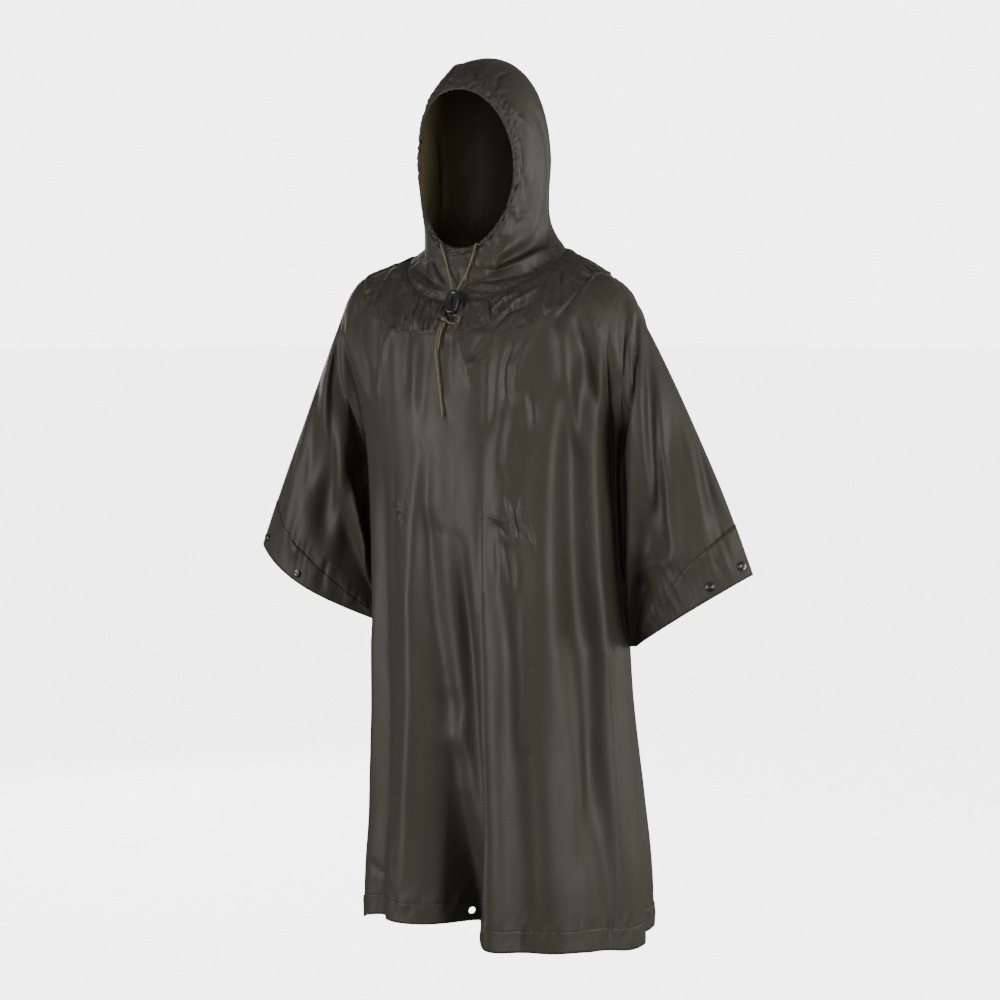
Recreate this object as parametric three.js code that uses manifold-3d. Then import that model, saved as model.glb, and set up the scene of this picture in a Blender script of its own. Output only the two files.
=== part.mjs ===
// A hooded rain poncho as it hangs on its wearer, built as a hollow of thin cloth walls.
// Millimetres, +Z up. The front faces -Y and the wearer's left is +X. The origin is the middle of the
// neck opening at the height of the shoulders, which is where the wearer carries the garment.
import * as THREE from 'three';
import { mergeVertices } from 'three/addons/utils/BufferGeometryUtils.js';
import Module from 'manifold-3d';

const wasm = await Module();
wasm.setup();

// Driving dimensions
const hemHeight = -1050;
const underarmHeight = -600;
const clothThickness = 1.6;
const bandThickness = 1.2;
const seamGap = 0.3;
const hemBandWidth = 35;
const cuffBandWidth = 37;
const casingThickness = 2.6;
const cordDiameter = 2.5;
const sleeveTip = { x: 442, y: -20, z: -468 };
const sleeveBottom = { x: 222, y: 36, z: -598 };

// Grid counts: columns run across a panel and rows run down it
const neckColumns = { front: 16, back: 11 };
const shoulderColumns = { front: 5, back: 4 };
const columnSpread = { front: 1.25, back: 1 };
const yokeRows = 2;
const domeRows = 6;
const chestRows = 8;
const skirtRows = 10;
const neckShare = 0.78;
const bodyColumns = {
  front: 2 * (neckColumns.front + shoulderColumns.front),
  back: 2 * (neckColumns.back + shoulderColumns.back),
};
const underarmRow = domeRows + chestRows;
const hemRow = underarmRow + skirtRows;
const sleeveColumns = 7;
const hoodRows = 13;

const colours = {
  cloth: 0x46453b,
  band: 0x3c3c34,
  cord: 0x8a8150,
  plastic: 0x232326,
  metal: 0x3a3638,
};

// The hood is a fan of loops hinged under the chin. Each loop runs from the near point on the throat
// to the far point on the crown or the nape, and is as wide as halfWidth on each side. bow pushes the
// loop's sides backwards and lift raises them. The first loop is the face opening, the last the neck seam.
const hoodLoops = [
  { at: 0.0, nearY: -119, nearZ: 14, farY: -130, farZ: 250, halfWidth: 82, bow: 22, lift: 0 },
  { at: 0.09, nearY: -124, nearZ: 5, farY: -114, farZ: 275, halfWidth: 88, bow: 22, lift: 0 },
  { at: 0.22, nearY: -127, nearZ: -6, farY: -76, farZ: 297, halfWidth: 94, bow: 18, lift: 0 },
  { at: 0.36, nearY: -130, nearZ: -17, farY: -22, farZ: 303, halfWidth: 96, bow: 12, lift: 0 },
  { at: 0.5, nearY: -132, nearZ: -28, farY: 26, farZ: 276, halfWidth: 98, bow: 6, lift: 0 },
  { at: 0.62, nearY: -134, nearZ: -38, farY: 50, farZ: 214, halfWidth: 98, bow: 2, lift: 0 },
  { at: 0.74, nearY: -136, nearZ: -47, farY: 50, farZ: 140, halfWidth: 95, bow: 0, lift: 3 },
  { at: 0.87, nearY: -138, nearZ: -56, farY: 44, farZ: 72, halfWidth: 103, bow: 0, lift: 12 },
  { at: 1.0, nearY: -139, nearZ: -66, farY: 48, farZ: 16, halfWidth: 130, bow: 0, lift: 24 },
];

// The body's level sections: how far the front and the back stand from the middle, and where the
// middle is. Between the armholes they end at the armhole lines, below them at the side seams.
const bodySections = [
  { z: -60, front: 152, back: 112, middleX: 0, middleY: 0 },
  { z: -130, front: 168, back: 146, middleX: 0, middleY: 0 },
  { z: -200, front: 178, back: 160, middleX: 0, middleY: 0 },
  { z: -303, front: 182, back: 168, middleX: 0, middleY: 0 },
  { z: -450, front: 182, back: 170, middleX: 0, middleY: 0 },
  { z: -600, front: 180, back: 170, middleX: 2, middleY: 0 },
  { z: -700, front: 182, back: 174, middleX: 5, middleY: 1 },
  { z: -850, front: 188, back: 186, middleX: 8, middleY: 6 },
  { z: -950, front: 194, back: 194, middleX: 8, middleY: 8 },
  { z: -1050, front: 196, back: 200, middleX: 8, middleY: 8 },
];

// The armhole line of the wearer's left side and, under it, the side seam. The front and the back of
// the sleeve meet at its ends, at the shoulder and at the underarm.
const armholeSections = [
  { z: -48, x: 236, frontY: -45.5, backY: -45.5 },
  { z: -84, x: 239, frontY: -80, backY: 2 },
  { z: -130, x: 234, frontY: -86, backY: 30 },
  { z: -200, x: 225, frontY: -66, backY: 60 },
  { z: -303, x: 215, frontY: -34, backY: 86 },
  { z: -400, x: 211, frontY: -20, backY: 92 },
  { z: -500, x: 209, frontY: -4, backY: 84 },
  { z: -560, x: 208, frontY: 14, backY: 66 },
  { z: -600, x: 207, frontY: 38, backY: 38 },
];
const sideSections = [
  { z: -600, x: 207, y: 38 },
  { z: -700, x: 209, y: 36 },
  { z: -850, x: 221, y: 32 },
  { z: -950, x: 231, y: 28 },
  { z: -1050, x: 234, y: 26 },
];

// The top line from the yoke's edge over the shoulder and down the arm to the sleeve's tip
const shoulderLine = [
  { x: 204, y: -45.5, z: -24 },
  { x: 221, y: -45.5, z: -34 },
  { x: 236, y: -45.5, z: -48 },
];
// The yoke's outer edge: how far it stands from the neck's middle at the side, in front and behind,
// and its height there
const yokeEdge = { middleY: -45.5, side: 204, sideZ: -24, front: 120.5, frontZ: -114, back: 134, backZ: -26 };
const armLine = [
  { x: 236, y: -45.5, z: -48 },
  { x: 253, y: -43, z: -68 },
  { x: 271, y: -40, z: -98 },
  { x: 310, y: -32, z: -172 },
  { x: 355, y: -25, z: -266 },
  { x: 398, y: -21, z: -360 },
  { x: 442, y: -20, z: -468 },
];

// The body's largest folds. arc is the distance round the body from its middle, + towards the wearer's
// left, at the fold's top and at its bottom. out is how far the cloth stands out, or in where it is
// below zero. right and left are the half widths on the side of the wearer's right and left.
const frontFolds = [
  { topZ: -360, arcTop: -24, outTop: -7, rightTop: 16, leftTop: 26, baseZ: -700, arc: -4, out: -26, right: 34, left: 24 },
  { topZ: -700, arcTop: -4, outTop: 0, rightTop: 34, leftTop: 24, baseZ: -1050, arc: 26, out: -96, right: 42, left: 20 },
  { topZ: -260, arcTop: -58, outTop: 4, rightTop: 22, leftTop: 20, baseZ: -1050, arc: -84, out: 10, right: 40, left: 30 },
  { topZ: -200, arcTop: 62, outTop: 4, rightTop: 22, leftTop: 18, baseZ: -1050, arc: 66, out: 15, right: 16, left: 22 },
  { topZ: -150, arcTop: 84, outTop: -5, rightTop: 16, leftTop: 16, baseZ: -520, arc: 84, out: -9, right: 18, left: 18 },
  { topZ: -170, arcTop: 126, outTop: -3, rightTop: 18, leftTop: 18, baseZ: -500, arc: 108, out: -9, right: 20, left: 22 },
  { topZ: -480, arcTop: 108, outTop: -6, rightTop: 22, leftTop: 24, baseZ: -1050, arc: 116, out: -11, right: 26, left: 28 },
  { topZ: -110, arcTop: 158, outTop: 7, rightTop: 16, leftTop: 16, baseZ: -560, arc: 164, out: 9, right: 24, left: 24 },
  { topZ: -110, arcTop: 186, outTop: -7, rightTop: 15, leftTop: 15, baseZ: -1050, arc: 252, out: -15, right: 34, left: 30 },
  { topZ: -130, arcTop: 212, outTop: 8, rightTop: 16, leftTop: 14, baseZ: -600, arc: 272, out: 8, right: 20, left: 20 },
  { topZ: -240, arcTop: -112, outTop: -5, rightTop: 18, leftTop: 18, baseZ: -1050, arc: -128, out: -12, right: 20, left: 22 },
  { topZ: -300, arcTop: -152, outTop: 6, rightTop: 20, leftTop: 20, baseZ: -1050, arc: -172, out: 9, right: 26, left: 26 },
];
const backFolds = [
  { topZ: -120, arcTop: -205, outTop: -6, rightTop: 18, leftTop: 18, baseZ: -1050, arc: -238, out: -15, right: 26, left: 26 },
  { topZ: -90, arcTop: -150, outTop: 6, rightTop: 18, leftTop: 20, baseZ: -1050, arc: -182, out: 12, right: 24, left: 26 },
  { topZ: -110, arcTop: -96, outTop: -7, rightTop: 17, leftTop: 18, baseZ: -1050, arc: -118, out: -22, right: 26, left: 24 },
  { topZ: -140, arcTop: -44, outTop: 5, rightTop: 18, leftTop: 18, baseZ: -1050, arc: -56, out: 12, right: 24, left: 26 },
  { topZ: -220, arcTop: 4, outTop: -5, rightTop: 18, leftTop: 18, baseZ: -1050, arc: 8, out: -18, right: 24, left: 26 },
  { topZ: -130, arcTop: 50, outTop: 5, rightTop: 18, leftTop: 18, baseZ: -1050, arc: 66, out: 12, right: 26, left: 24 },
  { topZ: -100, arcTop: 104, outTop: -7, rightTop: 18, leftTop: 18, baseZ: -1050, arc: 128, out: -22, right: 24, left: 26 },
  { topZ: -120, arcTop: 156, outTop: 6, rightTop: 18, leftTop: 20, baseZ: -1050, arc: 190, out: 12, right: 26, left: 24 },
  { topZ: -150, arcTop: 210, outTop: -6, rightTop: 18, leftTop: 18, baseZ: -1050, arc: 246, out: -14, right: 26, left: 26 },
];

// How far the cuff's front and back stand apart from the line between the sleeve's two corners
const cuffShape = { front: { swell: 52, rise: -5 }, back: { swell: 30, rise: 18 } };

// The height of the hem above its lowest level, across from the right side seam to the left one
const hemLine = {
  front: [
    { across: -1, up: -9 },
    { across: -0.8, up: -8 },
    { across: -0.6, up: 3 },
    { across: -0.42, up: 22 },
    { across: -0.2, up: 27 },
    { across: 0.04, up: 26 },
    { across: 0.2, up: 6 },
    { across: 0.36, up: 0 },
    { across: 0.6, up: -1 },
    { across: 0.85, up: -12 },
    { across: 1, up: -14 },
  ],
  back: [
    { across: -1, up: -9 },
    { across: -0.75, up: 10 },
    { across: -0.5, up: 27 },
    { across: -0.25, up: 28 },
    { across: 0, up: 18 },
    { across: 0.25, up: 6 },
    { across: 0.5, up: -3 },
    { across: 1, up: -14 },
  ],
};

// Folds of a sleeve's face. across runs from the armhole, 0, to the cuff, 1, and down from the arm
// line, 0, to the underarm, 1.
const sleeveFolds = [
  { acrossTop: 0.2, acrossEnd: 0.3, from: 0.05, to: 0.9, out: -13, width: 0.1 },
  { acrossTop: 0.36, acrossEnd: 0.52, from: 0.05, to: 1.0, out: 10, width: 0.11 },
  { acrossTop: 0.55, acrossEnd: 0.74, from: 0.1, to: 1.0, out: -9, width: 0.1 },
  { acrossTop: 0.78, acrossEnd: 0.94, from: 0.1, to: 1.0, out: 6, width: 0.1 },
];

const lerp = THREE.MathUtils.lerp;
const clamp = THREE.MathUtils.clamp;
const smooth = (x, from, to) => THREE.MathUtils.smoothstep(x, Math.min(from, to), Math.max(from, to));
const vector = (p) => new THREE.Vector3(p.x, p.y, p.z);

// Reads one column of a table of sections as a smooth curve of another column.
function readSection(table, key, at, column) {
  const down = table[0][key] > table[table.length - 1][key] ? -1 : 1;
  const last = table.length - 1;
  const place = clamp(at * down, table[0][key] * down, table[last][key] * down);
  let i = 0;
  while (i < last - 1 && table[i + 1][key] * down < place) i += 1;
  const slopeAt = (k) => {
    const a = table[Math.max(k - 1, 0)];
    const b = table[Math.min(k + 1, last)];
    return (b[column] - a[column]) / ((b[key] - a[key]) * down);
  };
  const step = (table[i + 1][key] - table[i][key]) * down;
  const t = (place - table[i][key] * down) / step;
  const [t2, t3] = [t * t, t * t * t];
  return (
    (2 * t3 - 3 * t2 + 1) * table[i][column] +
    (t3 - 2 * t2 + t) * step * slopeAt(i) +
    (3 * t2 - 2 * t3) * table[i + 1][column] +
    (t3 - t2) * step * slopeAt(i + 1)
  );
}

const lineCurve = (points) => new THREE.CatmullRomCurve3(points.map(vector), false, 'centripetal');
const shoulderCurve = lineCurve(shoulderLine);
const armCurve = lineCurve(armLine);

// A point of the hood: along runs from the face opening, 0, to the neck seam, 1, and turn from the
// throat, 0, up the wearer's left side to the crown or the nape, pi.
function hoodPoint(along, turn) {
  const read = (column) => readSection(hoodLoops, 'at', along, column);
  const rise = (1 - Math.cos(turn)) / 2;
  const side = Math.sin(turn);
  return new THREE.Vector3(
    read('halfWidth') * Math.sign(side) * Math.abs(side) ** 0.92 * (1 - 0.04 * Math.cos(turn)),
    lerp(read('nearY'), read('farY'), rise) + read('bow') * side * side,
    lerp(read('nearZ'), read('farZ'), rise) + read('lift') * side * side,
  );
}

// How far the folds of a table push the cloth out at an arc and a height.
function foldOut(folds, arc, z) {
  let out = 0;
  for (const fold of folds) {
    const t = (fold.topZ - z) / (fold.topZ - fold.baseZ);
    if (t <= 0) continue;
    const centre = lerp(fold.arcTop, fold.arc, Math.min(t, 1));
    const width =
      arc < centre ? lerp(fold.rightTop, fold.right, Math.min(t, 1)) : lerp(fold.leftTop, fold.left, Math.min(t, 1));
    const fadeIn = smooth(t, 0, 0.18);
    const fadeOut = fold.baseZ > hemHeight ? 1 - smooth(t, 0.8, 1.25) : 1;
    const reach = (arc - centre) / width;
    out += lerp(fold.outTop, fold.out, Math.min(t, 1)) * fadeIn * fadeOut * Math.exp(-reach * reach);
  }
  return out;
}

const roundRadius = 200;

// A point of the body at a height, across from the right armhole or side seam, -1, to the left, 1.
function bodySectionPoint(face, across, z) {
  const sign = face === 'front' ? -1 : 1;
  const depth = readSection(bodySections, 'z', z, face);
  const middleX = readSection(bodySections, 'z', z, 'middleX');
  const middleY = readSection(bodySections, 'z', z, 'middleY');
  const above = z > underarmHeight;
  const edgeX = above ? readSection(armholeSections, 'z', z, 'x') : readSection(sideSections, 'z', z, 'x');
  const edgeY = above ? readSection(armholeSections, 'z', z, face + 'Y') : readSection(sideSections, 'z', z, 'y');
  const turnEnd = Math.acos(clamp(((edgeY - middleY) * sign) / depth, -0.9, 0.9));
  const halfWidth = edgeX / Math.sin(turnEnd);
  const turn = turnEnd * across;
  const out = foldOut(face === 'front' ? frontFolds : backFolds, turn * roundRadius, z);
  const edgeFade = 1 - smooth(Math.abs(across), 0.9, 1);
  const normal = new THREE.Vector2(Math.sin(turn) / halfWidth, (sign * Math.cos(turn)) / depth).normalize();
  const shift = middleX * (1 - Math.abs(across) ** 3) + (above ? 0 : middleX * Math.abs(across) ** 3);
  return new THREE.Vector3(
    shift + halfWidth * Math.sin(turn) + normal.x * out * edgeFade,
    middleY + sign * depth * Math.cos(turn) + normal.y * out * edgeFade,
    z,
  );
}

// A point of the neck seam on a panel
function neckPoint(face, across) {
  const turn = (Math.abs(across) / neckShare) * (Math.PI / 2);
  const seam = hoodPoint(1, face === 'front' ? turn : Math.PI - turn);
  return seam.setX(seam.x * (Math.sign(across) || 1));
}

// The lower edge of the yoke in the middle of a panel, and the shoulder line on both sides of it
function yokeEdgePoint(face, across) {
  const side = Math.abs(across);
  const mirror = Math.sign(across) || 1;
  if (side > neckShare + 1e-9) {
    const point = shoulderCurve.getPoint((side - neckShare) / (1 - neckShare));
    return point.setX(point.x * mirror);
  }
  const turn = (side / neckShare) * (Math.PI / 2);
  const sign = face === 'front' ? -1 : 1;
  return new THREE.Vector3(
    mirror * yokeEdge.side * Math.sin(turn) ** 0.95,
    yokeEdge.middleY + sign * yokeEdge[face] * Math.max(Math.cos(turn), 0) ** 0.95,
    lerp(yokeEdge[face + 'Z'], yokeEdge.sideZ, Math.sin(turn) ** 4.5),
  );
}

// The dome of a panel: the cloth from the yoke's edge and the shoulders to a level section.
function domePoint(face, across, t) {
  const side = Math.abs(across);
  const top = yokeEdgePoint(face, across);
  const round = smooth(side, neckShare - 0.3, neckShare + 0.08);
  const fall = lerp(t, 1 - Math.cos((Math.PI / 2) * t), round);
  const out = lerp(1 - (1 - t) ** 1.7, Math.sin((Math.PI / 2) * t), round);
  const levelZ = domeLevel(face, side);
  const level = bodySectionPoint(face, across, levelZ);
  return new THREE.Vector3(lerp(top.x, level.x, out), lerp(top.y, level.y, out), lerp(top.z, levelZ, fall));
}
const domeLevel = (face, side) => lerp(face === 'front' ? -196 : -176, -118, smooth(side, 0.35, 1));

// The direction across the neck seam, from the hood to a panel, half way between the two cloths.
function neckSeamDirection(face, across) {
  const mirror = Math.sign(across) || 1;
  const turn = (Math.abs(across) / neckShare) * (Math.PI / 2);
  const seam = neckPoint(face, across);
  const hood = hoodPoint(0.96, face === 'front' ? turn : Math.PI - turn);
  const upHood = hood.setX(hood.x * mirror).sub(seam).normalize();
  const awayFrom = (side) => yokeEdgePoint(side, across).sub(seam).normalize();
  const direction = awayFrom(face).sub(upHood);
  return (Math.abs(across) < neckShare - 1e-9 ? direction : direction.setY(0)).normalize();
}

// How far across the body a column stands, from -1 at the right edge to 1 at the left.
function columnShare(face, column) {
  const fromMiddle = column - bodyColumns[face] / 2;
  const beyond = Math.abs(fromMiddle) - neckColumns[face];
  if (beyond <= 0) {
    const share = (Math.abs(fromMiddle) / neckColumns[face]) ** columnSpread[face];
    return Math.sign(fromMiddle) * neckShare * share;
  }
  return Math.sign(fromMiddle) * lerp(neckShare, 1, beyond / shoulderColumns[face]);
}

// A point of a panel's body part in its own column and row.
function bodyPoint(face, column, row) {
  const across = columnShare(face, column);
  if (row < yokeRows) {
    return neckPoint(face, across).lerp(yokeEdgePoint(face, across), row / yokeRows);
  }
  if (row <= domeRows) return domePoint(face, across, (row - yokeRows) / (domeRows - yokeRows));
  if (row <= underarmRow) {
    const levelZ = domeLevel(face, Math.abs(across));
    return bodySectionPoint(face, across, lerp(levelZ, underarmHeight, (row - domeRows) / chestRows));
  }
  const t = (row - underarmRow) / skirtRows;
  const bandShare = 1 - hemBandWidth / (underarmHeight - hemHeight);
  const last = (skirtRows - 1) / skirtRows;
  const share = t <= last ? (t / last) * bandShare : lerp(bandShare, 1, (t - last) / (1 - last));
  const hem = hemHeight + readSection(hemLine[face], 'across', across, 'up');
  return bodySectionPoint(face, across, lerp(underarmHeight, hem, share));
}

// A point of a sleeve's face. column runs from the armhole to the cuff and down from the arm line, 0,
// to the underarm, 1.
function sleevePoint(face, mirror, column, row) {
  const sign = face === 'front' ? -1 : 1;
  const edgeColumn = mirror > 0 ? bodyColumns[face] : 0;
  const armhole = (r) => {
    const p = bodyPoint(face, edgeColumn, r);
    return p.setX(Math.abs(p.x));
  };
  const last = (sleeveColumns - 1) / sleeveColumns;
  const bandShare = 1 - cuffBandWidth / 330;
  const u = column / sleeveColumns;
  const across = u <= last ? (u / last) * bandShare : lerp(bandShare, 1, (u - last) / (1 - last));
  const down = (row - yokeRows) / (underarmRow - yokeRows);
  const fall = smooth(down, 0, 1) * 0.35 + down * 0.65;
  const swell = Math.sin(Math.PI * fall ** 0.85);
  const cuff = vector(sleeveTip).lerp(vector(sleeveBottom), fall);
  cuff.y += sign * cuffShape[face].swell * swell;
  cuff.z += cuffShape[face].rise * swell;
  const top = armCurve.getPoint(across);
  const topBlend = armhole(yokeRows).lerp(vector(sleeveTip), across);
  const point = armhole(row).lerp(cuff, across);
  point.add(top.sub(topBlend).multiplyScalar((1 - down) ** 1.5));
  for (const fold of sleeveFolds) {
    const centre = lerp(fold.acrossTop, fold.acrossEnd, down);
    const reach = (across - centre) / fold.width;
    const fade = smooth(down, fold.from, fold.from + 0.25) * (1 - smooth(down, fold.to - 0.25, fold.to));
    const edge = smooth(across, 0, 0.12) * (1 - 0.6 * smooth(across, 0.85, 1));
    point.y += sign * fold.out * fade * edge * Math.exp(-reach * reach);
  }
  return point.setX(point.x * mirror);
}

// A panel's grid of points: the part under the yoke, the body below it and a sleeve on each side
// down to the underarm.
function panelGrid(face) {
  const columns = bodyColumns[face];
  const sign = face === 'front' ? -1 : 1;
  const grid = { points: [], quads: [], seam: [], id: new Map() };
  const acrossSide = new THREE.Vector3(0, sign, 0);
  const add = (column, row, point, directions) => {
    for (const direction of directions) point.addScaledVector(direction, seamGap / 2);
    grid.id.set(column + ',' + row, grid.points.length);
    grid.points.push(point);
    grid.seam.push(directions);
  };
  for (let column = -sleeveColumns; column <= columns + sleeveColumns; column += 1) {
    const onBody = column >= 0 && column <= columns;
    const fromMiddle = Math.abs(column - columns / 2);
    const topRow = fromMiddle <= neckColumns[face] ? 0 : yokeRows;
    for (let row = topRow; row <= (onBody ? hemRow : underarmRow); row += 1) {
      if (onBody) {
        const across = columnShare(face, column);
        const onSide = (column === 0 || column === columns) && row >= underarmRow;
        const onShoulder = row <= yokeRows && fromMiddle >= neckColumns[face];
        const onNeck = row === 0;
        const directions = onSide || onShoulder ? [acrossSide] : [];
        if (onNeck) directions.push(neckSeamDirection(face, across));
        const point = bodyPoint(face, column, row);
        if (onNeck) point.addScaledVector(directions[directions.length - 1], seamGap * 0.6);
        add(column, row, point, directions);
      } else {
        const mirror = column < 0 ? -1 : 1;
        const outward = column < 0 ? -column : column - columns;
        const directions = row === yokeRows || row === underarmRow ? [acrossSide] : [];
        add(column, row, sleevePoint(face, mirror, outward, row), directions);
      }
    }
  }
  for (let column = -sleeveColumns; column < columns + sleeveColumns; column += 1) {
    const rows = column >= 0 && column < columns ? hemRow : underarmRow;
    const underYoke = Math.abs(column + 0.5 - columns / 2) < neckColumns[face];
    for (let row = underYoke ? 0 : yokeRows; row < rows; row += 1) {
      const quad = [[column, row], [column, row + 1], [column + 1, row + 1], [column + 1, row]];
      const corners = quad.map(([c, r]) => grid.id.get(c + ',' + r));
      grid.quads.push(face === 'front' ? corners : corners.reverse());
    }
  }
  grid.normals = gridNormals(grid);
  return grid;
}

// The mean outward direction at each point of a grid, turned into the plane between the two cloths
// of each seam that the point lies on.
function gridNormals(grid) {
  const normals = grid.points.map(() => new THREE.Vector3());
  for (const quad of grid.quads) {
    const [a, b, c, d] = quad.map((i) => grid.points[i]);
    const normal = c.clone().sub(a).cross(d.clone().sub(b));
    for (const i of quad) normals[i].add(normal);
  }
  normals.forEach((normal, i) => {
    for (const direction of grid.seam[i]) normal.addScaledVector(direction, -normal.dot(direction));
    normal.normalize();
  });
  return normals;
}

// Part of a grid: the quads whose points all pass a test.
function gridPart(grid, test) {
  const quads = grid.quads.filter((quad) => quad.every((i) => test.has(i)));
  const used = [...new Set(quads.flat())];
  const renumber = new Map(used.map((old, i) => [old, i]));
  return {
    points: used.map((i) => grid.points[i]),
    normals: used.map((i) => grid.normals[i]),
    quads: quads.map((quad) => quad.map((i) => renumber.get(i))),
  };
}

// A closed wall on a grid, between two distances from its points along their normals.
function wallGeometry(grid, innerAt, outerAt) {
  const count = grid.points.length;
  const positions = [];
  for (const at of [outerAt, innerAt]) {
    grid.points.forEach((point, i) => {
      positions.push(...point.clone().addScaledVector(grid.normals[i], at).toArray());
    });
  }
  const index = [];
  const edges = new Map();
  for (const [a, b, c, d] of grid.quads) {
    index.push(a, b, c, a, c, d);
    index.push(count + a, count + c, count + b, count + a, count + d, count + c);
    for (const [p, q] of [[a, b], [b, c], [c, d], [d, a]]) {
      if (edges.has(q + ',' + p)) edges.delete(q + ',' + p);
      else edges.set(p + ',' + q, [p, q]);
    }
  }
  for (const [p, q] of edges.values()) index.push(q, p, count + p, q, count + p, count + q);
  const geometry = new THREE.BufferGeometry();
  geometry.setAttribute('position', new THREE.Float32BufferAttribute(positions, 3));
  geometry.setIndex(index);
  return geometry;
}

function solidOf(geometry) {
  const bare = geometry.clone();
  bare.deleteAttribute('normal');
  bare.deleteAttribute('uv');
  const merged = mergeVertices(bare, 1e-3);
  return new wasm.Manifold(
    new wasm.Mesh({
      numProp: 3,
      vertProperties: new Float32Array(merged.attributes.position.array),
      triVerts: new Uint32Array(merged.index.array),
    }),
  );
}

function geometryOf(solid) {
  const mesh = solid.getMesh();
  const geometry = new THREE.BufferGeometry();
  geometry.setAttribute('position', new THREE.BufferAttribute(new Float32Array(mesh.vertProperties), 3));
  geometry.setIndex(new THREE.BufferAttribute(new Uint32Array(mesh.triVerts), 1));
  return geometry;
}

// Turns a geometry whose axis is Y so that the axis points along a direction, and moves it to a place.
function placed(geometry, place, direction) {
  const turn = new THREE.Quaternion().setFromUnitVectors(new THREE.Vector3(0, 1, 0), direction.clone().normalize());
  return geometry.applyQuaternion(turn).translate(place.x, place.y, place.z);
}

// The geometry with round holes drilled at some places.
function drilled(geometry, holes) {
  let solid = solidOf(geometry);
  for (const hole of holes) {
    const drill = placed(new THREE.CylinderGeometry(hole.radius, hole.radius, hole.depth, 20), hole.place, hole.direction);
    solid = solid.subtract(solidOf(drill));
  }
  return geometryOf(solid);
}

const poncho = new THREE.Group();
function addPiece(name, geometry, colour, roughness = 0.55, metalness = 0) {
  const mesh = new THREE.Mesh(geometry, new THREE.MeshStandardMaterial({ color: colour, roughness, metalness }));
  mesh.name = name;
  mesh.geometry.computeVertexNormals();
  poncho.add(mesh);
}

// Panels, hem bands, cuff bands and yoke
const grids = { front: panelGrid('front'), back: panelGrid('back') };

function bandOf(face, test) {
  const ids = new Set();
  for (const [key, i] of grids[face].id) {
    const [column, row] = key.split(',').map(Number);
    if (test(column, row)) ids.add(i);
  }
  return gridPart(grids[face], ids);
}

// The grommet sits in the front hem, deep in the large fold and half way up the band.
const grommet = { hole: 5.7, outer: 9.4, thickness: 4.4, x: 12 };
function grommetPlace() {
  const columns = bodyColumns.front;
  let best = null;
  for (let column = 1; column < columns; column += 1) {
    const low = grids.front.id.get(column + ',' + hemRow);
    const high = grids.front.id.get(column + ',' + (hemRow - 1));
    const place = grids.front.points[low].clone().lerp(grids.front.points[high], 0.5);
    const off = Math.abs(place.x - grommet.x);
    if (!best || off < best.off) {
      best = { off, place, direction: grids.front.normals[low].clone().lerp(grids.front.normals[high], 0.5) };
    }
  }
  return { place: best.place, direction: best.direction.normalize() };
}
const grommetSeat = grommetPlace();
const grommetHole = { ...grommetSeat, radius: grommet.outer + seamGap, depth: 20 };

const panels = {
  front: wallGeometry(grids.front, -clothThickness, 0),
  back: wallGeometry(grids.back, -clothThickness, 0),
};
const overlay = { inner: seamGap, outer: seamGap + bandThickness };
for (const face of ['front', 'back']) {
  const columns = bodyColumns[face];
  const hem = bandOf(face, (column, row) => row >= hemRow - 1 && column >= 0 && column <= columns);
  const hemGeometry = wallGeometry(hem, overlay.inner, overlay.outer);
  addPiece(face + '_panel', face === 'front' ? drilled(panels.front, [grommetHole]) : panels.back, colours.cloth);
  addPiece(face + '_hem_band', face === 'front' ? drilled(hemGeometry, [grommetHole]) : hemGeometry, colours.band);
  for (const [side, test] of [['right', (c) => c <= 1 - sleeveColumns], ['left', (c) => c >= columns + sleeveColumns - 1]]) {
    const cuff = bandOf(face, (column) => test(column));
    addPiece(side + '_cuff_' + face, wallGeometry(cuff, overlay.inner, overlay.outer), colours.band);
  }
}

// The yoke is a ring of cloth on the panels around the neck seam.
for (const face of ['front', 'back']) {
  const yoke = bandOf(face, (column, row) => row <= yokeRows);
  addPiece(face + '_yoke', wallGeometry(yoke, overlay.inner, overlay.outer), colours.cloth);
}

// Hood: two halves that meet in the middle, and the casing round the face opening
const hoodColumns = neckColumns.front + neckColumns.back;
const hoodTurn = (column) => {
  const face = column <= neckColumns.front ? 'front' : 'back';
  const fromMiddle = face === 'front' ? column : hoodColumns - column;
  const turn = (Math.PI / 2) * (fromMiddle / neckColumns[face]) ** columnSpread[face];
  return face === 'front' ? turn : Math.PI - turn;
};
const casingShare = 0.082;
const hoodAlong = (row) => (row <= 1 ? row * casingShare : lerp(casingShare, 1, (row - 1) / (hoodRows - 1)));
function hoodGrid(mirror) {
  const grid = { points: [], quads: [], seam: [] };
  const rows = hoodRows + 1;
  const acrossMiddle = new THREE.Vector3(mirror, 0, 0);
  for (let column = 0; column <= hoodColumns; column += 1) {
    const turn = hoodTurn(column);
    const face = turn < Math.PI / 2 ? 'front' : 'back';
    for (let row = 0; row < rows; row += 1) {
      const point = hoodPoint(hoodAlong(row), turn);
      point.x *= mirror;
      const directions = column === 0 || column === hoodColumns ? [acrossMiddle] : [];
      if (row === rows - 1) {
        const across = (mirror * neckShare * (face === 'front' ? turn : Math.PI - turn)) / (Math.PI / 2);
        directions.push(neckSeamDirection(face, across).negate());
      }
      for (const direction of directions) point.addScaledVector(direction, seamGap / 2);
      grid.points.push(point);
      grid.seam.push(directions);
    }
  }
  for (let column = 0; column < hoodColumns; column += 1) {
    for (let row = 0; row < rows - 1; row += 1) {
      const a = column * rows + row;
      const corners = [a, a + 1, a + rows + 1, a + rows];
      grid.quads.push(mirror > 0 ? corners : corners.reverse());
    }
  }
  grid.normals = gridNormals(grid);
  return grid;
}
for (const [side, mirror] of [['left', 1], ['right', -1]]) {
  addPiece('hood_' + side, wallGeometry(hoodGrid(mirror), -clothThickness, 0), colours.cloth);
}

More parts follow.
